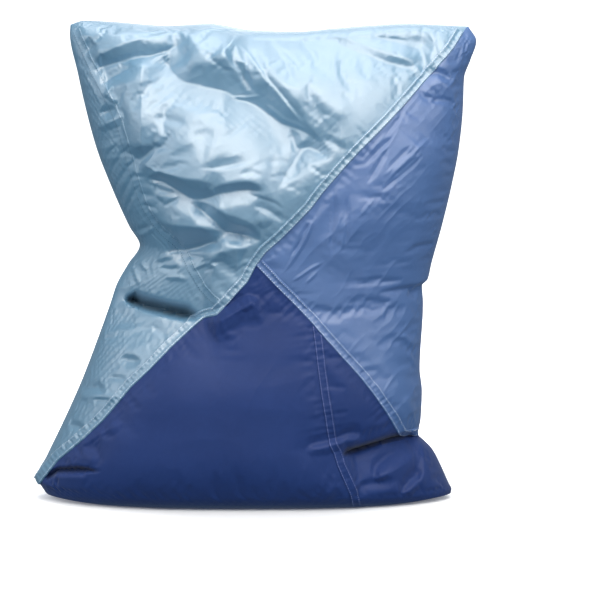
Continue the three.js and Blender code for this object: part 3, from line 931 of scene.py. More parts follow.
    def puckered(self, seams: Distances) -> Array:
        """Small waves that run along each seam.

        Each is the height times the sine of a turn for each pitch along the seam, with a drift of noise
        in it, and a swell that comes and goes. It dies away from the seam as exp(-away / reach).

        Args:
            seams: Distances along and from each seam.

        Returns:
            How far the puckers stand out.
        """
        total = 0.0
        for number, (name, (along, away)) in enumerate(seams.items()):
            drift, swell = (
                lattice(along, 0.0 * along, self.pucker_cell, seed + number) for seed in self.pucker_seeds
            )
            swell = smooth_step(-self.pucker_swell, self.pucker_swell, swell)
            height, pitch, reach = self.seam_puckers[name]
            wave = np.sin(2.0 * math.pi * along / pitch + self.pucker_drift * drift)
            total = total + height * wave * swell * np.exp(-np.abs(away) / reach)
        return total

    def gathered(self, x: Array, z: Array) -> Array:
        """Puckers that run in from the sewn rim, at right angles to it.

        At the left, the right and the top they are waves along the rim like those of the seams, which
        slant a little and die away as exp(-distance / reach).

        Args:
            x: Reaches.
            z: Heights.

        Returns:
            How far they stand out.
        """
        _, high = self.form.ends(np.zeros(x.shape))
        base, gain = self.rim_swell
        total = np.zeros(x.shape)
        rims = ((x - self.form.left(z), z), (self.form.right(z) - x, z), (high - z, x))
        for number, (off, run) in enumerate(rims):
            seeds = [seed + number for seed in self.rim_seeds]
            drift = self.rim_drift * lattice(run, self.rim_drift_slant * off, self.rim_drift_cell, seeds[0])
            swell = base + gain * lattice(run, 0.0 * off, self.rim_swell_cell, seeds[1])
            wave = np.sin(2.0 * math.pi * run / self.rim_pucker_pitch + drift)
            total += wave * swell * np.exp(-np.abs(off) / self.rim_pucker_reach)
        return self.rim_pucker * total

    def points(self, side: Side, x: Array, z: Array) -> Array:
        """The cloth at places given by reach and height.

        The depth is the smooth form, less the creases, plus crumples and puckers. These fade out where
        the sack is thin and close to the floor, and the rim closes to an edge. Hanging cloth is lowered
        by its sag, and the moves of a settled half are added at the end.

        Args:
            side: The half asked for.
            x: Reaches in millimetres.
            z: Heights in millimetres.

        Returns:
            Points in millimetres, with a last axis of three.
        """
        u, v = self.form.shares(x, z)
        full = self.form.fullness(side, u, v, z)
        room = np.minimum(1.0, full / self.fold_room)
        off_floor = smooth_step(0.0, self.form.turn_under, z)
        relief = self.gathered(x, z) * smooth_step(0.0, self.gather_room, room)
        sag = np.zeros(x.shape)
        if side is Side.FRONT:
            seams = {name: trail.measure(x, z) for name, trail in self.seams.items()}
            push, sag, _ = self.crease_push(x, z)
            relief = relief - push * room
            relief = relief + self.crumpled(side, x, z, seams) * np.sqrt(room)
            relief = relief + self.puckered(seams) * np.sqrt(room)
        else:
            relief = relief + self.crumpled(side, x, z, {}) * np.sqrt(room)
        edge = self.form.rim_half * smooth_step(0.0, self.rim_close, full) + self.form.edge_half
        depth = np.maximum(edge + full + relief * off_floor, self.form.edge_half)
        y = side.value * depth + self.form.lean * z
        points = np.stack([x, y, z - sag * room * off_floor], axis=-1)
        if side in self.settled:
            points = points + self.settled[side].at(u, v)
        return points

    def lifted(self, side: Side, x: Array, z: Array, lift: Array) -> tuple[Array, Array]:
        """Points raised off the cloth along its outward normal.

        The normal is the cross product of the runs of the cloth between places a probe to each side.

        Args:
            side: The half asked for.
            x: Reaches.
            z: Heights.
            lift: How far each point is raised.

        Returns:
            The raised points and the normals.
        """
        middle = self.points(side, x, z)
        run_x = self.points(side, x + self.probe, z) - self.points(side, x - self.probe, z)
        run_z = self.points(side, x, z + self.probe) - self.points(side, x, z - self.probe)
        normal = unit(side.value * np.cross(run_z, run_x))
        return middle + lift[..., None] * normal, normal


@dataclass
class GridLines:
    """The grid over one half of the sack: shares of its width and of its height.

    Each of the stretches ends at a height and has rows a share of the pitch apart.
    """

    columns: int
    pitch: float
    crowding: float = 1.25
    stretches: tuple = ((40.0, 0.7), (510.0, 1.05), (1160.0, 0.78), (1222.0, 0.6), (1240.0, 0.28))

    def across(self) -> Array:
        """Shares of the width: the sine of even angles, so that the columns draw together at the rims."""
        return np.sin(np.linspace(-1.0, 1.0, self.columns + 1) * self.crowding) / math.sin(self.crowding)

    def up(self) -> Array:
        """Shares of the height, closer together near the floor and over the upper part.

        Returns:
            The share of each row, from 0 to 1.
        """
        heights = [np.zeros(1)]
        low = 0.0
        for high, share in self.stretches:
            count = max(2, int(round((high - low) / (self.pitch * share))))
            heights.append(low + (high - low) * np.arange(1, count + 1) / count)
            low = high
        return np.concatenate(heights) / low

    def column_of(self, u: Array) -> Array:
        """Where a share of the width falls, counted in columns."""
        turn = np.arcsin(np.clip(u, -1.0, 1.0) * math.sin(self.crowding)) / self.crowding
        return 0.5 * (turn + 1.0) * self.columns

    def row_of(self, v: Array) -> Array:
        """Where a share of the height falls, counted in rows."""
        up = self.up()
        return np.interp(v, up, np.arange(len(up)))


@dataclass
class Moves:
    """How far a settled grid has moved, in millimetres, read between its points by a cubic."""

    lines: GridLines
    moves: Array

    @staticmethod
    def weights(t: Array) -> Array:
        """Catmull-Rom weights of four points in a row.

        Args:
            t: Shares of the way between the middle two.

        Returns:
            The four weights of each share.
        """
        return 0.5 * np.stack([
            -t + 2.0 * t**2 - t**3,
            2.0 - 5.0 * t**2 + 3.0 * t**3,
            t + 4.0 * t**2 - 3.0 * t**3,
            t**3 - t**2,
        ])

    def at(self, u: Array, v: Array) -> Array:
        """The moves at places of one half, the weighted sum of the sixteen grid points round each.

        Args:
            u: Shares of the width, from -1 to 1.
            v: Shares of the height, from 0 to 1.

        Returns:
            Moves in millimetres, with a last axis of three.
        """
        rows, columns = self.moves.shape[:2]
        place = self.lines.row_of(v), self.lines.column_of(u)
        low = [np.clip(np.floor(at).astype(int), 0, size - 2) for at, size in zip(place, (rows, columns))]
        share = [self.weights(at - start) for at, start in zip(place, low)]
        total = np.zeros((*u.shape, 3))
        for i in range(4):
            row = np.clip(low[0] + i - 1, 0, rows - 1)
            for k in range(4):
                column = np.clip(low[1] + k - 1, 0, columns - 1)
                total += (share[0][i] * share[1][k])[..., None] * self.moves[row, column]
        return total


@dataclass
class Settling:
    """A cloth simulation of the whole sack, a little too large for its filling, held at its seams.

    rim_ease and top_ease are the shares of width and height, and foot_ease the heights, between which
    the hold comes in or ends.
    """

    columns: int = 110
    pitch: float = 12.0
    frames: int = 18
    pressure: float = 4.0
    growth: float = 0.012
    cap: float = 9.0
    seam_hold: float = 16.0
    fold_hold: float = 46.0
    held_depth: float = 34.0
    calm_hold: float = 0.6
    calm_ease: float = 20.0
    least_hold: float = 0.02
    free_gain: float = 1.6
    rim_ease: tuple = (0.93, 0.995)
    top_ease: tuple = (0.985, 1.0)
    foot_ease: tuple = (6.0, 60.0)

    def run(self, cloth: Cloth) -> None:
        """Simulates the sack and gives its moves to the cloth.

        The rim, the foot, the seams and the deepest creases are held, and the rest swells and puckers. A
        move of some size becomes cap times the hyperbolic tangent of size over cap.

        Args:
            cloth: The cloth that is settled.
        """
        lines = GridLines(self.columns, self.pitch)
        grid_u, grid_v = np.meshgrid(lines.across(), lines.up())
        x, z = cloth.form.places(grid_u, grid_v)
        halves = {side: cloth.points(side, x, z) for side in Side}
        rows, columns = x.shape
        held = self.hold(cloth, x, z, grid_u, grid_v)
        start = np.concatenate([halves[side].reshape(-1, 3) for side in Side]) * MM
        firm = np.concatenate([held[side].ravel() for side in Side])
        moved = (self.simulate(start, self.skin(rows, columns), firm) - start) / MM
        size = np.linalg.norm(moved, axis=1, keepdims=True)
        moved *= self.cap * np.tanh(size / self.cap) / np.maximum(size, TINY)
        moved = moved.reshape(2, rows, columns, 3)
        for half, side in enumerate(Side):
            free = 1.0 - held[side][..., None]
            cloth.settled[side] = Moves(lines, moved[half] * np.minimum(1.0, self.free_gain * free))
        LOG.info("settled cloth: %d points, largest move %.1f mm", len(start), float(size.max()))

    @staticmethod
    def skin(rows: int, columns: int) -> Array:
        """Faces of one closed skin: the front and back grids, joined at the rim and along the bottom.

        Args:
            rows: Rows of points in each grid.
            columns: Columns of points in each grid.

        Returns:
            The four corners of each face.
        """
        index = np.arange(2 * rows * columns).reshape(2, rows, columns)
        quads = []
        for half, side in enumerate(Side):
            a, b = index[half, :-1, :-1], index[half, :-1, 1:]
            c, d = index[half, 1:, 1:], index[half, 1:, :-1]
            order = (a, b, c, d) if side is Side.FRONT else (a, d, c, b)
            quads.append(np.stack(order, axis=-1).reshape(-1, 4))
        for front, back in (
            (index[0, :, 0], index[1, :, 0]), (index[0, ::-1, -1], index[1, ::-1, -1]),
            (index[0, -1], index[1, -1]), (index[0, 0, ::-1], index[1, 0, ::-1]),
        ):
            quads.append(np.stack([front[:-1], front[1:], back[1:], back[:-1]], axis=-1))
        return np.vstack(quads)

    def hold(self, cloth: Cloth, x: Array, z: Array, u: Array, v: Array) -> dict:
        """How firmly each point is held, from 0 to 1.

        The hold is 1 at the rim and the foot, calm_hold over the left piece, and exp(-(away / reach)^2)
        at the seams and at the deep creases, whichever is most.

        Args:
            cloth: The cloth that is settled.
            x: Reaches of the points.
            z: Their heights.
            u: Their shares of the width.
            v: Their shares of the height.

        Returns:
            The hold of each half.
        """
        rim = np.maximum(smooth_step(*self.rim_ease, np.abs(u)), smooth_step(*self.top_ease, v))
        foot = 1.0 - smooth_step(*self.foot_ease, z)
        base = np.maximum(rim, foot)
        across = {name: trail.measure(x, z)[1] for name, trail in cloth.seams.items()}
        calm = smooth_step(0.0, self.calm_ease, across["top left"])
        calm = calm * smooth_step(0.0, self.calm_ease, -across["main"])
        front = np.maximum(base, self.calm_hold * calm)
        for away in across.values():
            front = np.maximum(front, np.exp(-((away / self.seam_hold) ** 2)))
        for crease, trail in cloth.creases:
            if crease.depth > self.held_depth:
                away = np.abs(trail.measure(x, z)[1])
                front = np.maximum(front, np.exp(-((away / self.fold_hold) ** 2)))
        return {Side.FRONT: front, Side.BACK: base}

    def simulate(self, points: Array, quads: Array, held: Array) -> Array:
        """Runs Blender's cloth over the closed skin and takes it out again.

        Args:
            points: The skin's points in metres.
            quads: Its faces.
            held: How firmly each point is held.

        Returns:
            The settled points.
        """
        scene = bpy.context.scene
        data = bpy.data.meshes.new("settling")
        data.from_pydata(points.tolist(), [], quads.tolist())
        body = linked("settling", data)
        group = body.vertex_groups.new(name="held")
        for number, share in enumerate(np.maximum(held, self.least_hold).tolist()):
            group.add([number], share, "REPLACE")
        modifier = body.modifiers.new("settling", "CLOTH")
        cloth = modifier.settings
        cloth.quality = 5
        cloth.mass = 0.25
        cloth.tension_stiffness = cloth.compression_stiffness = 20.0
        cloth.shear_stiffness = 8.0
        cloth.bending_stiffness = 1.2
        cloth.air_damping = 1.5
        cloth.use_pressure = True
        cloth.uniform_pressure_force = self.pressure
        cloth.shrink_min = cloth.shrink_max = -self.growth
        cloth.vertex_group_mass = "held"
        cloth.pin_stiffness = 1.0
        cloth.effector_weights.gravity = 0.0
        modifier.collision_settings.use_collision = False
        modifier.point_cache.frame_start, modifier.point_cache.frame_end = 1, self.frames
        for frame in range(1, self.frames + 1):
            scene.frame_set(frame)
        settled = body.evaluated_get(bpy.context.evaluated_depsgraph_get())
        ended = np.empty(points.size)
        settled.data.vertices.foreach_get("co", ended)
        scene.frame_set(1)
        bpy.data.objects.remove(body)
        bpy.data.meshes.remove(data)
        return ended.reshape(-1, 3)


def halved(a: Array, b: Array, c: Array, d: Array) -> Array:
    """Two triangles for each four-sided face, whose corners are given in order."""
    return np.vstack([np.stack(corner, axis=-1).reshape(-1, 3) for corner in ((a, b, c), (a, c, d))])


@dataclass
class Sheet:
    """A triangle mesh being made: rows of values at each vertex, and the triangles between them.

    The first three columns are the point in millimetres, the next two its place on the flat cloth in
    millimetres, and those from first_field on are fields that the sheet may be cut along. The column
    shade_column, where there is one, is the painted shade of the deep folds, which darkens their colour.
    """

    rows: Array
    faces: Array
    first_field: ClassVar[int] = 5
    shade_column: ClassVar[int] = 9
    cut_gap: ClassVar[float] = 1e-3

    @staticmethod
    def from_grid(rows: Array, flip: bool) -> Sheet:
        """A sheet over a grid.

        Args:
            rows: Values at each grid point, with a last axis of columns.
            flip: Whether the faces are turned over.

        Returns:
            The sheet, with two triangles for each cell.
        """
        count_v, count_u, width = rows.shape
        index = np.arange(count_v * count_u).reshape(count_v, count_u)
        faces = halved(index[:-1, :-1], index[:-1, 1:], index[1:, 1:], index[1:, :-1])
        return Sheet(rows.reshape(-1, width), faces[:, ::-1] if flip else faces)

    def cut(self, value: Array) -> Sheet:
        """Keeps the part of the sheet where a value at its vertices is not negative.

        A triangle that the zero line crosses is cut on it, at the share value_i / (value_i - value_j)
        of each crossed edge.

        Args:
            value: One number for each vertex.

        Returns:
            The part that is kept, with its unused vertices dropped.
        """
        value = np.where(np.abs(value) < self.cut_gap, self.cut_gap, value)
        keep = value[self.faces] >= 0.0
        count = keep.sum(axis=1)
        whole = self.faces[count == 3]
        one = self.turned(self.faces[count == 1], keep[count == 1], True)
        two = self.turned(self.faces[count == 2], keep[count == 2], False)
        edges = np.vstack([one[:, [0, 1]], one[:, [0, 2]], two[:, [0, 1]], two[:, [0, 2]]])
        ordered = np.sort(edges, axis=1)
        unique, where = np.unique(ordered, axis=0, return_inverse=True)
        where = where.ravel()
        start, end = unique[:, 0], unique[:, 1]
        share = (value[start] / (value[start] - value[end]))[:, None]
        fresh = self.rows[start] * (1.0 - share) + self.rows[end] * share
        corner = len(self.rows) + where
        ab, ac, eb, ec = np.split(corner, np.cumsum([len(one), len(one), len(two)]))
        faces = np.vstack([
            whole,
            np.stack([one[:, 0], ab, ac], axis=1),
            np.stack([eb, two[:, 1], two[:, 2]], axis=1),
            np.stack([eb, two[:, 2], ec], axis=1),
        ])
        rows = np.vstack([self.rows, fresh])
        used, faces = np.unique(faces, return_inverse=True)
        return Sheet(rows[used], faces.reshape(-1, 3))

    @staticmethod
    def turned(faces: Array, keep: Array, wanted: bool) -> Array:
        """Each triangle turned so that its odd corner, the only one kept or dropped, comes first.

        Args:
            faces: The triangles.
            keep: Whether each corner is kept.
            wanted: True where the odd corner is the kept one.

        Returns:
            The turned triangles.
        """
        first = np.argmax(keep == wanted, axis=1)
        order = (first[:, None] + np.arange(3)) % 3
        return np.take_along_axis(faces, order, axis=1)

    def thickened(self, thickness: float) -> Sheet:
        """A closed shell: the sheet, a copy moved inwards by the thickness, and a wall round the edge.

        A vertex moves along the sum of the cross products of its triangles, and the edge is made of the
        directed sides that no triangle runs the other way.

        Args:
            thickness: In millimetres.

        Returns:
            The shell.
        """
        points = self.rows[:, :3]
        flat = points[self.faces]
        cross = np.cross(flat[:, 1] - flat[:, 0], flat[:, 2] - flat[:, 0])
        normal = np.zeros(points.shape)
        for corner in range(3):
            np.add.at(normal, self.faces[:, corner], cross)
        inner = self.rows.copy()
        inner[:, :3] -= thickness * unit(normal)
        count = len(points)
        directed = np.vstack([self.faces[:, [0, 1]], self.faces[:, [1, 2]], self.faces[:, [2, 0]]])
        code = directed[:, 0] * count + directed[:, 1]
        back = directed[:, 1] * count + directed[:, 0]
        rim = directed[~np.isin(code, back)]
        wall = np.vstack([
            np.stack([rim[:, 1], rim[:, 0], rim[:, 0] + count], axis=1),
            np.stack([rim[:, 1], rim[:, 0] + count, rim[:, 1] + count], axis=1),
        ])
        faces = np.vstack([self.faces, self.faces[:, ::-1] + count, wall])
        return Sheet(np.vstack([self.rows, inner]), faces)

    def mesh(self, name: str, crease_angle: float = 55.0) -> bpy.types.Object:
        """Puts the sheet into a Blender object.

        Args:
            name: The object's name.
            crease_angle: Edges sharper than this, in degrees, are shaded as edges.

        Returns:
            The new object, linked to the scene.
        """
        data = bpy.data.meshes.new(name)
        data.vertices.add(len(self.rows))
        data.vertices.foreach_set("co", (self.rows[:, :3] * MM).astype(np.float32).ravel())
        data.loops.add(3 * len(self.faces))
        data.loops.foreach_set("vertex_index", self.faces.astype(np.int32).ravel())
        data.polygons.add(len(self.faces))
        data.polygons.foreach_set("loop_start", np.arange(0, 3 * len(self.faces), 3, dtype=np.int32))
        chart = data.uv_layers.new(name="cloth")
        chart.data.foreach_set("uv", (self.rows[self.faces.ravel(), 3:5] * MM).astype(np.float32).ravel())
        # The painted shade of the deep folds goes on as a point attribute that darkens the material there.
        if self.rows.shape[1] > self.shade_column:
            shade = data.attributes.new("fold_shade", "FLOAT", "POINT")
            shade.data.foreach_set("value", self.rows[:, self.shade_column].astype(np.float32))
        data.update(calc_edges=True)
        data.validate()
        data.shade_smooth()
        data.set_sharp_from_angle(angle=math.radians(crease_angle))
        return linked(name, data)


class NodeBench:
    """Builds one node material, from texture to shader."""

    def __init__(self, name: str) -> None:
        """Starts a material with its output and principled shader.

        Args:
            name: The material's name.
        """
        self.material = bpy.data.materials.new(name)
        self.material.use_nodes = True
        self.tree = self.material.node_tree
        self.tree.nodes.clear()
        self.output = self.tree.nodes.new("ShaderNodeOutputMaterial")
        self.shader = self.tree.nodes.new("ShaderNodeBsdfPrincipled")
        self.link(self.shader.outputs["BSDF"], self.output.inputs["Surface"])

    def link(self, start: bpy.types.NodeSocket, end: bpy.types.NodeSocket) -> None:
        """Joins two sockets."""
        self.tree.links.new(start, end)

    def fix(self, values: dict[str, object]) -> None:
        """Sets sockets of the shader to numbers or colours that are the same all over the surface."""
        for name, value in values.items():
            self.shader.inputs[name].default_value = value

    def add(self, kind: str, **settings: object) -> bpy.types.Node:
        """Adds a node.

        Args:
            kind: Blender's name for its type.
            settings: Values of its properties.

        Returns:
            The node.
        """
        node = self.tree.nodes.new(kind)
        for key, value in settings.items():
            setattr(node, key, value)
        return node

    def math(self, operation: str, first: object, second: object = None) -> bpy.types.NodeSocket:
        """Adds a Math node.

        Args:
            operation: What it does.
            first: A socket or a number.
            second: Another one, where the operation needs it.

        Returns:
            Its value.
        """
        node = self.add("ShaderNodeMath", operation=operation)
        for socket, value in zip(node.inputs, (first, second)):
            if value is None:
                continue
            if isinstance(value, (int, float)):
                socket.default_value = value
            else:
                self.link(value, socket)
        return node.outputs[0]

    def noise(self, where: bpy.types.NodeSocket, scale: float, detail: float) -> bpy.types.NodeSocket:
        """Adds a Noise texture.

        Args:
            where: The socket that gives the place.
            scale: How many cells to a metre.
            detail: How many finer layers.

        Returns:
            Its value.
        """
        node = self.add("ShaderNodeTexNoise")
        node.inputs["Scale"].default_value = scale
        node.inputs["Detail"].default_value = detail
        self.link(where, node.inputs["Vector"])
        return node.outputs["Fac"]

    def bump(self, height: bpy.types.NodeSocket, distance: float, strength: float,
             under: bpy.types.NodeSocket | None = None) -> bpy.types.NodeSocket:
        """Adds a Bump node.

        Args:
            height: The socket that gives the height.
            distance: The height of 1, in metres.
            strength: How much of it counts.
            under: The normal that it bends, if not the plain one.

        Returns:
            The bent normal.
        """
        node = self.add("ShaderNodeBump")
        node.inputs["Distance"].default_value = distance
        node.inputs["Strength"].default_value = strength
        self.link(height, node.inputs["Height"])
        if under is not None:
            self.link(under, node.inputs["Normal"])
        return node.outputs["Normal"]


@dataclass(frozen=True)
class Sailcloth:
    """Thin coated nylon: a tight plain weave with a fine rip-stop grid under a glossy coating.

    A grain holds the scale and detail of a noise, and a relief the height of a bump and its strength.
    """

    name: str
    slot: str
    colour: tuple[float, float, float]
    worn: tuple[float, float, float]
    roughness: float
    coat: float
    gloss: float
    crinkle: float
    ior: float = 1.5
    coat_ior: float = 2.2
    sheen: float = 0.15
    painted_shade_share: float = 0.4
    film_roughness: float = 0.5
    dye_grain: tuple = (5.0, 3.0)
    dye_share: float = 0.7
    fine_grain: tuple = (90.0, 4.0)
    fine_share: float = 0.3
    dye_range: tuple = (0.35, 0.68)
    patch_grain: tuple = (24.0, 3.0)
    patch_depth: float = 0.16
    thread_pitch: float = 0.0009
    thread_share: float = 0.35
    grid_pitch: float = 0.0062
    grid_power: float = 24.0
    weave_relief: tuple = (0.00012, 0.5)
    crinkle_grain: tuple = (42.0, 3.0)
    crinkle_height: float = 0.004

    def material(self) -> bpy.types.Material:
        """Builds the material.

        Returns:
            A material whose weave and grid follow the cloth's own map, with soft crinkles, a slight
            unevenness of dye and a patchy shine, and with painted shade in the deepest folds, which
            darkens the colour and thins the coat there.
        """
        bench = NodeBench(self.name)
        place = bench.add("ShaderNodeTexCoord")
        chart = bench.add("ShaderNodeUVMap", uv_map="cloth")
        split = bench.add("ShaderNodeSeparateXYZ")
        bench.link(chart.outputs["UV"], split.inputs["Vector"])
        across, up = split.outputs["X"], split.outputs["Y"]
        where = place.outputs["Object"]

        dye = bench.math("MULTIPLY", bench.noise(where, *self.dye_grain), self.dye_share)
        fine = bench.math("MULTIPLY", bench.noise(where, *self.fine_grain), self.fine_share)
        ramp = bench.add("ShaderNodeValToRGB")
        for stop, at, colour in zip(ramp.color_ramp.elements, self.dye_range, (self.colour, self.worn)):
            stop.position = at
            stop.color = (*colour, 1.0)
        bench.link(bench.math("ADD", dye, fine), ramp.inputs["Fac"])
        # Painted shade: where the fold_shade attribute marks a deep fold, the colour is mixed towards a
        # dark share of itself.
        fold = bench.add("ShaderNodeMix", data_type="RGBA")
        fold.inputs["B"].default_value = (*[self.painted_shade_share * part for part in self.colour], 1.0)
        shade = bench.add("ShaderNodeAttribute", attribute_name="fold_shade").outputs["Fac"]
        bench.link(shade, fold.inputs["Factor"])
        bench.link(ramp.outputs["Color"], fold.inputs["A"])
        bench.link(fold.outputs["Result"], bench.shader.inputs["Base Color"])

        shine = bench.math("MULTIPLY", bench.noise(where, *self.patch_grain), self.patch_depth)
        shine = bench.math("ADD", shine, self.roughness - self.patch_depth / 2.0)
        bench.link(shine, bench.shader.inputs["Roughness"])
        # Painted shade also thins the coat in the deep folds, so they show less reflection.
        coat_outside_painted_shade = bench.math("SUBTRACT", 1.0, shade)
        bench.link(bench.math("MULTIPLY", coat_outside_painted_shade, self.coat), bench.shader.inputs["Coat Weight"])
        bench.fix({
            "Coat Roughness": self.film_roughness, "Coat IOR": self.coat_ior, "Sheen Weight": self.sheen,
            "Sheen Roughness": self.film_roughness, "IOR": self.ior, "Specular IOR Level": self.gloss,
        })

        threads, lines = [], []
        for axis in (across, up):
            turn = bench.math("MULTIPLY", axis, 2.0 * math.pi / self.thread_pitch)
            threads.append(bench.math("SINE", turn))
            turn = bench.math("COSINE", bench.math("MULTIPLY", axis, 2.0 * math.pi / self.grid_pitch))
            lines.append(bench.math("POWER", bench.math("MAXIMUM", turn, 0.0), self.grid_power))
        weave = bench.math("MULTIPLY", bench.math("MULTIPLY", *threads), self.thread_share)
        normal = bench.bump(bench.math("ADD", weave, bench.math("MAXIMUM", *lines)), *self.weave_relief)
        ridge = bench.math("SUBTRACT", bench.noise(where, *self.crinkle_grain), 0.5)
        normal = bench.bump(bench.math("ABSOLUTE", ridge), self.crinkle_height, self.crinkle, normal)
        bench.link(normal, bench.shader.inputs["Normal"])
        return bench.material


@dataclass(frozen=True)
class Thread:
    """Twisted polyester sewing thread."""

    name: str
    colour: tuple[float, float, float]
    dark_share: float = 0.8
    roughness: float = 0.6
    sheen: float = 0.3
    fuzz_grain: tuple = (1400.0, 2.0)
    fuzz_relief: tuple = (0.0003, 0.6)

    def material(self) -> bpy.types.Material:
        """Builds the material.

        Returns:
            A soft thread, a little uneven in colour, with a fine fuzz in its bump.
        """
        bench = NodeBench(self.name)
        place = bench.add("ShaderNodeTexCoord")
        fuzz = bench.noise(place.outputs["Object"], *self.fuzz_grain)
        ramp = bench.add("ShaderNodeValToRGB")
        for stop, share in zip(ramp.color_ramp.elements, (self.dark_share, 1.0)):
            stop.color = (*[share * part for part in self.colour], 1.0)
        bench.link(fuzz, ramp.inputs["Fac"])
        bench.link(ramp.outputs["Color"], bench.shader.inputs["Base Color"])
        bench.fix({"Roughness": self.roughness, "Sheen Weight": self.sheen})
        bench.link(bench.bump(fuzz, *self.fuzz_relief), bench.shader.inputs["Normal"])
        return bench.material


LIGHT_CLOTH = Sailcloth("sailcloth_light", "sailcloth_light", (0.046, 0.2, 0.345), (0.058, 0.225, 0.375),
                        0.5, 1.0, 1.0, 0.24, 1.6, 2.6)
MID_CLOTH = Sailcloth("sailcloth_mid", "sailcloth_mid", (0.044, 0.117, 0.31), (0.052, 0.135, 0.34),
                      0.48, 0.4, 0.8, 0.16)
NAVY_CLOTH = Sailcloth("sailcloth_navy", "sailcloth_navy", (0.0065, 0.027, 0.128), (0.0095, 0.034, 0.152),
                       0.5, 0.07, 0.18, 0.1)


THREADS = (
    Thread("pale_thread", (0.72, 0.79, 0.9)),
    # Dark thread for the top left seam: partly the thread's own colour, partly painted shade standing in
    # for the shaded needle holes and puckers along its rows.
    Thread("light_thread", (0.05, 0.13, 0.22)),
    Thread("blue_thread", (0.2, 0.24, 0.5)),
)


class Cut(NamedTuple):
    """A cut piece of the front: its node, its cloth, and which side of each seam it lies on."""

    node: str
    cloth: Sailcloth
    sides: tuple


FRONT_CUTS = (
    Cut("front_top_panel", LIGHT_CLOTH, (("main", -1), ("top left", -1))),
    Cut("front_left_panel", LIGHT_CLOTH, (("main", -1), ("top left", 1))),
    Cut("front_right_panel", MID_CLOTH, (("main", 1), ("right", 1))),
    Cut("front_bottom_panel", NAVY_CLOTH, (("main", 1), ("right", -1), ("navy join", -1))),
    Cut("front_corner_panel", NAVY_CLOTH, (("main", 1), ("right", -1), ("navy join", 1))),
)


@dataclass
class SackCloth:
    """The six cut pieces of the sack, as thin shells over the whole filled form."""

    cloth: Cloth
    thickness: float = 1.2
    columns: dict = field(default_factory=lambda: {Side.FRONT: 384, Side.BACK: 186})
    pitch: dict = field(default_factory=lambda: {Side.FRONT: 4.2, Side.BACK: 6.0})
    under_rows: int = 14
    fill: float = 0.55

    def grid(self, side: Side) -> Array:
        """Points, flat places and seam distances over one half.

        The rows run up from the middle of the underside: first a flat stretch out to where the cloth
        leaves the floor, then the skin. They lie closer near the floor and the top, and the columns
        draw together towards the rims as the sine of an even angle.

        Args:
            side: The half asked for.

        Returns:
            An array of rows by columns by values, as Sheet keeps them.
        """
        lines = GridLines(self.columns[side], self.pitch[side])
        grid_u, grid_v = np.meshgrid(lines.across(), lines.up())
        x, z = self.cloth.form.places(grid_u, grid_v)
        points = self.cloth.points(side, x, z)
        under = self.underside(points[0], side)
        points = np.concatenate([under, points])
        count_v, count_u = points.shape[:2]
        step_u = np.linalg.norm(np.diff(points, axis=1), axis=2)
        step_v = np.linalg.norm(np.diff(points, axis=0), axis=2)
        middle = count_u // 2
        run_u = np.concatenate([np.zeros((count_v, 1)), np.cumsum(step_u, axis=1)], axis=1)
        run_u = run_u - run_u[:, middle : middle + 1]
        run_v = np.concatenate([np.zeros(1), np.cumsum(step_v[:, middle])])
        run_v = np.repeat(run_v[:, None], count_u, axis=1)
        columns = [points, run_u[..., None], run_v[..., None]]
        if side is Side.FRONT:
            x, z = (np.concatenate([np.repeat(at[:1], len(under), axis=0), at]) for at in (x, z))
            columns += [trail.measure(x, z)[1][..., None] for trail in self.cloth.seams.values()]
            # The last column is the painted shade of the deep folds.
            columns.append(self.cloth.crease_push(x, z)[2][..., None])
        return np.concatenate(columns, axis=2)

    def underside(self, edge: Array, side: Side) -> Array:
        """Rows flat on the floor, evenly from the rim plane out to the edge where the cloth leaves it.

        Args:
            edge: The points of that edge.
            side: The half asked for.

        Returns:
            The rows of points.
        """
        share = np.arange(self.under_rows)[:, None] / self.under_rows
        rows = np.repeat(edge[None], self.under_rows, axis=0)
        centre = self.cloth.form.lean * edge[:, 2] + side.value * self.cloth.form.edge_half
        rows[..., 1] = centre + (edge[:, 1] - centre) * share
        return rows

    def build(self) -> list[bpy.types.Object]:
        """Makes the six pieces.

        Returns:
            The pieces, each named after the node that it stands for.
        """
        front = Sheet.from_grid(self.grid(Side.FRONT), flip=False)
        names = list(self.cloth.seams)
        made = []
        for cut in FRONT_CUTS:
            sheet = front
            for seam, way in cut.sides:
                sheet = sheet.cut(way * sheet.rows[:, Sheet.first_field + names.index(seam)])
            made.append(self.dress(sheet.thickened(self.thickness), cut.node, cut.cloth))
        back = Sheet.from_grid(self.grid(Side.BACK), flip=True)
        made.append(self.dress(back.thickened(self.thickness), "back_panel", MID_CLOTH))
        return made

    def dress(self, sheet: Sheet, node: str, cloth: Sailcloth) -> bpy.types.Object:
        """Makes one piece of cloth, named after its node, and hides the node.

        Args:
            sheet: Its closed shell.
            node: The node it stands for.
            cloth: Its finish.

        Returns:
            The piece.
        """
        piece = sheet.mesh(f"{node}_cloth")
        piece.data.materials.append(MATERIALS[cloth.name])
        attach(piece, "root")
        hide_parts(node)
        LOG.info("%s: %d triangles", piece.name, len(sheet.faces))
        return piece


class SeamPlan(NamedTuple):
    """A felled seam: its line, its cloth, the side its band lies on, its share of height and its thread.

    under is the line of the seam that its top end runs under.
    """

    line: str
    cloth: Sailcloth
    way: int
    height: float
    thread: str
    under: str = ""


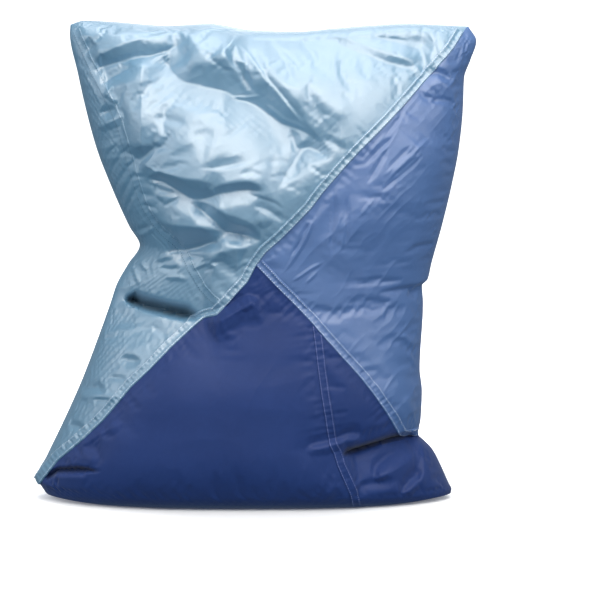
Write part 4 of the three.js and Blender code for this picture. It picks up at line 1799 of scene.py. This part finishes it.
@dataclass
class FelledSeams:
    """The felled seams: a folded band of cloth along each line, sewn down with two rows of stitches.

    section holds distances across the band and its height there, as a share of how far it stands proud.
    stitch_rings are the places of a stitch's rings, from -1 to 1 along it.
    """

    cloth: Cloth
    width: float = 21.0
    proud: float = 2.0
    first_row: float = 2.4
    second_row: float = 18.6
    stitch_pitch: float = 6.4
    stitch_length: float = 5.4
    stitch_half: float = 1.05
    end_share: float = 0.995
    floor_gap: float = 3.0
    top_gap: float = 2.0
    tuck: float = 5.0
    tuck_reach: float = 4.0

    band_pitch: float = 3.0
    band_thickness: float = 0.5
    section: tuple = (
        (-0.5, -0.8), (0.0, 0.7), (0.7, 1.2), (1.6, 1.35), (2.4, 1.4), (3.3, 1.35), (5.0, 1.1), (8.0, 0.6),
        (10.5, 0.5), (13.0, 0.6), (16.0, 1.1), (17.7, 1.35), (18.6, 1.4), (19.5, 1.35), (20.4, 1.2),
        (21.0, 0.7), (21.6, -0.8),
    )
    rung_pitch: float = 13.0
    rung_height: float = 0.32
    rung_drift: float = 2.0
    rung_cell: float = 45.0
    rung_seed: int = 401

    row_pitch: float = 2.0
    stitch_lift: float = 1.42
    stitch_rings: tuple = (-1.0, -0.86, -0.4, 0.4, 0.86, 1.0)
    stitch_sides: int = 6
    stitch_flat: float = 0.8
    stitch_sink: float = 0.5
    stitch_least: float = 0.02
    stitch_crease: float = 80.0

    plans: tuple = (
        SeamPlan("top left", LIGHT_CLOTH, -1, 0.2, "light_thread"),
        SeamPlan("right", MID_CLOTH, 1, 1.0, "pale_thread"),
        SeamPlan("navy join", NAVY_CLOTH, 1, 0.7, "blue_thread", "right"),
        SeamPlan("main", LIGHT_CLOTH, -1, 1.1, "pale_thread"),
    )

    def inside(self, trail: Trail) -> Trail:
        """The stretch of a line that lies on the sack, a little in from the rim.

        Args:
            trail: The whole line.

        Returns:
            The line through those of its points that lie there.
        """
        x, z = trail.points[:, 0], trail.points[:, 1]
        low, high = self.cloth.form.ends(np.zeros(x.shape))
        u, _ = self.cloth.form.shares(x, z)
        on = (np.abs(u) < self.end_share) & (z > low + self.floor_gap) & (z < high - self.top_gap)
        return Trail(trail.points[on])

    def tucked(self, plan: SeamPlan, x: Array, z: Array) -> Array:
        """How far a band lies sunk where it has passed under another seam.

        Args:
            plan: Which seam.
            x: Reaches.
            z: Heights.

        Returns:
            The depth in millimetres, which comes in over tuck_reach before the other seam's line.
        """
        if not plan.under:
            return np.zeros(x.shape)
        _, beyond = self.cloth.seams[plan.under].measure(x, z)
        return self.tuck * smooth_step(-self.tuck_reach, 0.0, beyond)

    def band(self, plan: SeamPlan) -> bpy.types.Object:
        """One band of folded cloth.

        Across the band its height rises steeply from below the cloth, is highest at the two rows of
        stitches, dips between them, and falls again at the far edge. Along it, small rungs of cloth
        stand as the sine of a turn for each pitch, with a drift of noise, times half a sine across.

        Args:
            plan: Which seam.

        Returns:
            The band's object.
        """
        trail = self.inside(self.cloth.seams[plan.line].spaced(self.band_pitch))
        across = np.array([place for place, _ in self.section])
        profile = np.array([height for _, height in self.section])
        lines = [trail.shifted(plan.way * t).points for t in across]
        x = np.stack([line[:, 0] for line in lines])
        z = np.stack([line[:, 1] for line in lines])
        along = np.repeat(trail.along[None], len(across), axis=0)
        drift = self.rung_drift * lattice(along, 0.0 * along, self.rung_cell, self.rung_seed)
        arch = np.sin(math.pi * np.clip(across / self.width, 0.0, 1.0))
        rung = np.sin(2.0 * math.pi * along / self.rung_pitch + drift) * arch[:, None]
        height = profile[:, None] + self.rung_height * rung
        lift = self.proud * plan.height * height - self.tucked(plan, x, z)
        points, _ = self.cloth.lifted(Side.FRONT, x, z, lift)
        level = np.repeat(across[:, None, None], x.shape[1], axis=1)
        rows = np.concatenate([points, along[..., None], level], axis=2)
        sheet = Sheet.from_grid(rows, flip=plan.way > 0)
        piece = sheet.thickened(self.band_thickness).mesh(f"{plan.line.replace(' ', '_')}_seam_band")
        piece.data.materials.append(MATERIALS[plan.cloth.name])
        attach(piece, "root")
        LOG.info("%s: %d triangles", piece.name, 2 * len(sheet.faces))
        return piece

    def stitch(self) -> tuple[Array, Array]:
        """One stitch, a short thread with round ends.

        Its rings are flattened circles, whose half width falls as the root of 1 - s^4 towards the ends
        at s = -1 and 1, and which sink by the cube of s.

        Returns:
            Its points along, across and above the row, and its triangles.
        """
        share, sides = np.array(self.stitch_rings), self.stitch_sides
        half = self.stitch_half * np.sqrt(np.clip(1.0 - share**4, self.stitch_least, 1.0))
        turn = np.arange(sides) * math.pi / (sides / 2.0)
        sink = self.stitch_sink * np.abs(share[:, None]) ** 3
        points = np.stack([
            np.repeat(share * self.stitch_length / 2.0, sides),
            (half[:, None] * np.cos(turn)).ravel(),
            (half[:, None] * (self.stitch_flat * np.sin(turn)) - sink).ravel(),
        ], axis=1)
        index = np.arange(len(points)).reshape(-1, sides)
        after = np.roll(index, -1, axis=1)
        last = index[-1, 0]
        caps = [[0, i + 1, i] for i in range(1, sides - 1)]
        caps += [[last, last + i, last + i + 1] for i in range(1, sides - 1)]
        faces = np.vstack([halved(index[:-1], after[:-1], after[1:], index[1:]), caps])
        return points, faces[:, ::-1]

    def stitches(self, plan: SeamPlan) -> bpy.types.Object:
        """The two rows of stitches on one band, each stitch laid along the row's own way.

        Args:
            plan: Which seam.

        Returns:
            The object that holds both rows.
        """
        trail = self.inside(self.cloth.seams[plan.line].spaced(self.row_pitch))
        centres, ways, ups = [], [], []
        for gap in (self.first_row, self.second_row):
            line = trail.shifted(plan.way * gap)
            x, z = line.points[:, 0], line.points[:, 1]
            lift = self.stitch_lift * self.proud * plan.height - self.tucked(plan, x, z)
            points, normal = self.cloth.lifted(Side.FRONT, x, z, lift)
            run = np.concatenate(([0.0], np.cumsum(np.linalg.norm(np.diff(points, axis=0), axis=1))))
            at = np.arange(self.stitch_pitch, run[-1] - self.stitch_pitch, self.stitch_pitch)
            before, after = at - self.row_pitch, at + self.row_pitch
            centres.append(read_at(at, run, points))
            ways.append(read_at(after, run, points) - read_at(before, run, points))
            ups.append(read_at(at, run, normal))
        centre, way = np.vstack(centres), unit(np.vstack(ways))
        side = unit(np.cross(np.vstack(ups), way))
        up = np.cross(way, side)
        local, faces = self.stitch()
        points = centre[:, None] + local[None, :, :1] * way[:, None] + local[None, :, 1:2] * side[:, None]
        points = points + local[None, :, 2:] * up[:, None]
        every = (faces[None] + len(local) * np.arange(len(centre))[:, None, None]).reshape(-1, 3)
        rows = np.concatenate([points.reshape(-1, 3), np.zeros((len(centre) * len(local), 2))], axis=1)
        piece = Sheet(rows, every).mesh(f"{plan.line.replace(' ', '_')}_stitching", self.stitch_crease)
        piece.data.materials.append(MATERIALS[plan.thread])
        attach(piece, "root")
        LOG.info("%s: %d stitches", piece.name, len(centre))
        return piece

    def build(self) -> list[bpy.types.Object]:
        """Makes all the bands and their stitches."""
        return [make(plan) for plan in self.plans for make in (self.band, self.stitches)]


class Lamp(NamedTuple):
    """A soft rectangular light: its place and aim in metres, size, power in watts and colour."""

    name: str
    place: tuple
    aim: tuple
    size: tuple
    power: float
    tint: tuple


@dataclass
class Studio:
    """The plain pale floor and backdrop, the soft lights and the camera of the photograph."""

    sighting: Sighting
    floor_rings: tuple = (0.4, 1.4, 4.0)
    floor_radius: float = 9.4
    bend: float = 1.6
    bend_rings: int = 13
    wall: float = 7.0
    spokes: int = 96
    glow_from: float = 0.3
    glow_to: float = 1.2
    colour: tuple[float, float, float] = (0.9, 0.9, 0.9)
    roughness: float = 0.8
    horizon: tuple = (-0.35, 0.45)
    sky: float = 0.56
    sky_tint: tuple[float, float, float] = (0.9, 0.97, 1.05)
    ground: float = 0.36
    ground_tint: tuple[float, float, float] = (0.5, 0.85, 1.15)
    gloss_share: float = 0.18
    lamps: tuple = (
        Lamp("overhead_softbox", (0.3, -2.1, 3.1), (0.0, 0.0, 0.7), (3.8, 2.3), 98.0, (1.0, 0.96, 0.9)),
        Lamp("right_softbox", (3.2, -2.2, 1.7), (0.0, 0.0, 0.6), (1.0, 2.2), 32.0, (0.96, 0.98, 1.0)),
        Lamp("left_softbox", (-3.3, -1.3, 1.6), (0.0, 0.0, 0.6), (1.8, 2.2), 28.0, (0.96, 0.98, 1.0)),
        Lamp("front_fill", (-1.2, -4.8, 3.0), (0.0, 0.0, 0.7), (2.8, 2.0), 30.0, (0.97, 0.98, 1.0)),
        Lamp("top_softbox", (0.0, 0.3, 3.4), (0.0, 0.0, 0.9), (2.8, 1.8), 44.0, (1.0, 1.0, 1.0)),
        Lamp("back_softbox", (0.6, 3.4, 2.6), (0.0, 0.0, 0.6), (2.4, 1.8), 34.0, (1.0, 1.0, 1.0)),
        Lamp("floor_bounce", (0.0, -1.3, 0.04), (0.0, -0.1, 0.3), (2.0, 0.3), 2.4, (0.97, 0.98, 1.0)),
    )

    def backdrop(self) -> None:
        """A wide round bowl: a flat floor, a quarter circle up and a wall, turned about the upright axis.

        Away from the object it glows white, so that it looks evenly lit from every side.
        """
        turn = np.linspace(0.0, math.pi / 2.0, self.bend_rings)
        radii = np.concatenate((self.floor_rings, self.floor_radius + self.bend * np.sin(turn),
                                [self.floor_radius + self.bend]))
        heights = np.concatenate((np.zeros(len(self.floor_rings)), self.bend * (1.0 - np.cos(turn)),
                                  [self.wall]))
        around = np.arange(self.spokes) * math.pi / (self.spokes / 2.0)
        x = radii[:, None] * np.cos(around)
        y = radii[:, None] * np.sin(around)
        z = np.repeat(heights[:, None], len(around), axis=1)
        points = np.vstack([np.zeros((1, 3)), np.stack([x, y, z], axis=-1).reshape(-1, 3)])
        ring = 1 + np.arange(x.size).reshape(x.shape)
        after = np.roll(ring, -1, axis=1)
        faces = np.stack([ring[:-1], ring[1:], after[1:], after[:-1]], axis=-1).reshape(-1, 4).tolist()
        faces += np.stack([np.zeros(len(around), dtype=int), ring[0], after[0]], axis=-1).tolist()
        data = bpy.data.meshes.new("studio_backdrop")
        data.from_pydata(points.tolist(), [], faces)
        data.shade_smooth()
        piece = linked("studio_backdrop", data)
        bench = NodeBench("studio_backdrop")
        white = (1.0, 1.0, 1.0, 1.0)
        bench.fix({"Base Color": (*self.colour, 1.0), "Roughness": self.roughness, "Emission Color": white})
        place = bench.add("ShaderNodeTexCoord")
        away = bench.add("ShaderNodeVectorMath", operation="LENGTH")
        bench.link(place.outputs["Object"], away.inputs[0])
        glow = bench.add("ShaderNodeMapRange")
        glow.inputs["From Min"].default_value = self.glow_from
        glow.inputs["From Max"].default_value = self.glow_to
        bench.link(away.outputs["Value"], glow.inputs["Value"])
        bench.link(glow.outputs["Result"], bench.shader.inputs["Emission Strength"])
        piece.data.materials.append(bench.material)
        piece.visible_diffuse = piece.visible_glossy = False

    def lights(self) -> None:
        """Hangs the lamps and sets a pale room, brighter above than below and dimmer in reflections."""
        for plan in self.lamps:
            data = bpy.data.lights.new(plan.name, "AREA")
            data.shape = "RECTANGLE"
            data.size, data.size_y = plan.size
            data.energy = plan.power
            data.color = plan.tint
            lamp = linked(plan.name, data)
            lamp.location = plan.place
            way = Vector(plan.aim) - Vector(plan.place)
            lamp.rotation_euler = way.to_track_quat("-Z", "Y").to_euler()
        world = bpy.data.worlds.new("pale_room")
        world.use_nodes = True
        tree = world.node_tree
        place, split, level, tint, path, dim = (
            tree.nodes.new(f"ShaderNode{kind}")
            for kind in ("TexCoord", "SeparateXYZ", "MapRange", "Mix", "LightPath", "MapRange")
        )
        level.inputs["From Min"].default_value, level.inputs["From Max"].default_value = self.horizon
        tint.data_type = "RGBA"
        tint.inputs["A"].default_value = (*[self.ground * share for share in self.ground_tint], 1.0)
        tint.inputs["B"].default_value = (*[self.sky * share for share in self.sky_tint], 1.0)
        dim.inputs["To Min"].default_value, dim.inputs["To Max"].default_value = 1.0, self.gloss_share
        room = tree.nodes["Background"].inputs
        for start, end in (
            (place.outputs["Generated"], split.inputs["Vector"]),
            (split.outputs["Z"], level.inputs["Value"]),
            (level.outputs["Result"], tint.inputs["Factor"]),
            (tint.outputs["Result"], room["Color"]),
            (path.outputs["Is Glossy Ray"], dim.inputs["Value"]),
            (dim.outputs["Result"], room["Strength"]),
        ):
            tree.links.new(start, end)
        bpy.context.scene.world = world
        bpy.context.scene.view_settings.view_transform = "Standard"

    def camera(self) -> None:
        """The camera, at the height, distance and lens that the sighting gives."""
        data = bpy.data.cameras.new("photo_camera")
        data.sensor_width = self.sighting.sensor
        data.lens = self.sighting.lens
        camera = linked("photo_camera", data)
        across, up = self.sighting.aim
        back = self.sighting.distance * math.cos(self.sighting.elevation)
        rise = self.sighting.distance * math.sin(self.sighting.elevation)
        camera.location = (across * MM, -back * MM, (up + rise) * MM)
        camera.rotation_euler = (math.pi / 2.0 - self.sighting.elevation, 0.0, 0.0)
        bpy.context.scene.camera = camera

    def build(self) -> None:
        """Sets the stage."""
        self.backdrop()
        self.lights()
        self.camera()


MATERIALS: dict[str, bpy.types.Material] = {}


def main() -> None:
    """Builds the stage, the cloth and its seams."""
    logging.basicConfig(level=logging.INFO, format="%(message)s")
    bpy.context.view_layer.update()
    for finish in (LIGHT_CLOTH, MID_CLOTH, NAVY_CLOTH, *THREADS):
        MATERIALS[finish.name] = finish.material()
    cloth = Cloth()
    Studio(cloth.sighting).build()
    Settling().run(cloth)
    SackCloth(cloth).build()
    FelledSeams(cloth).build()


if __name__ == "__main__":
    main()
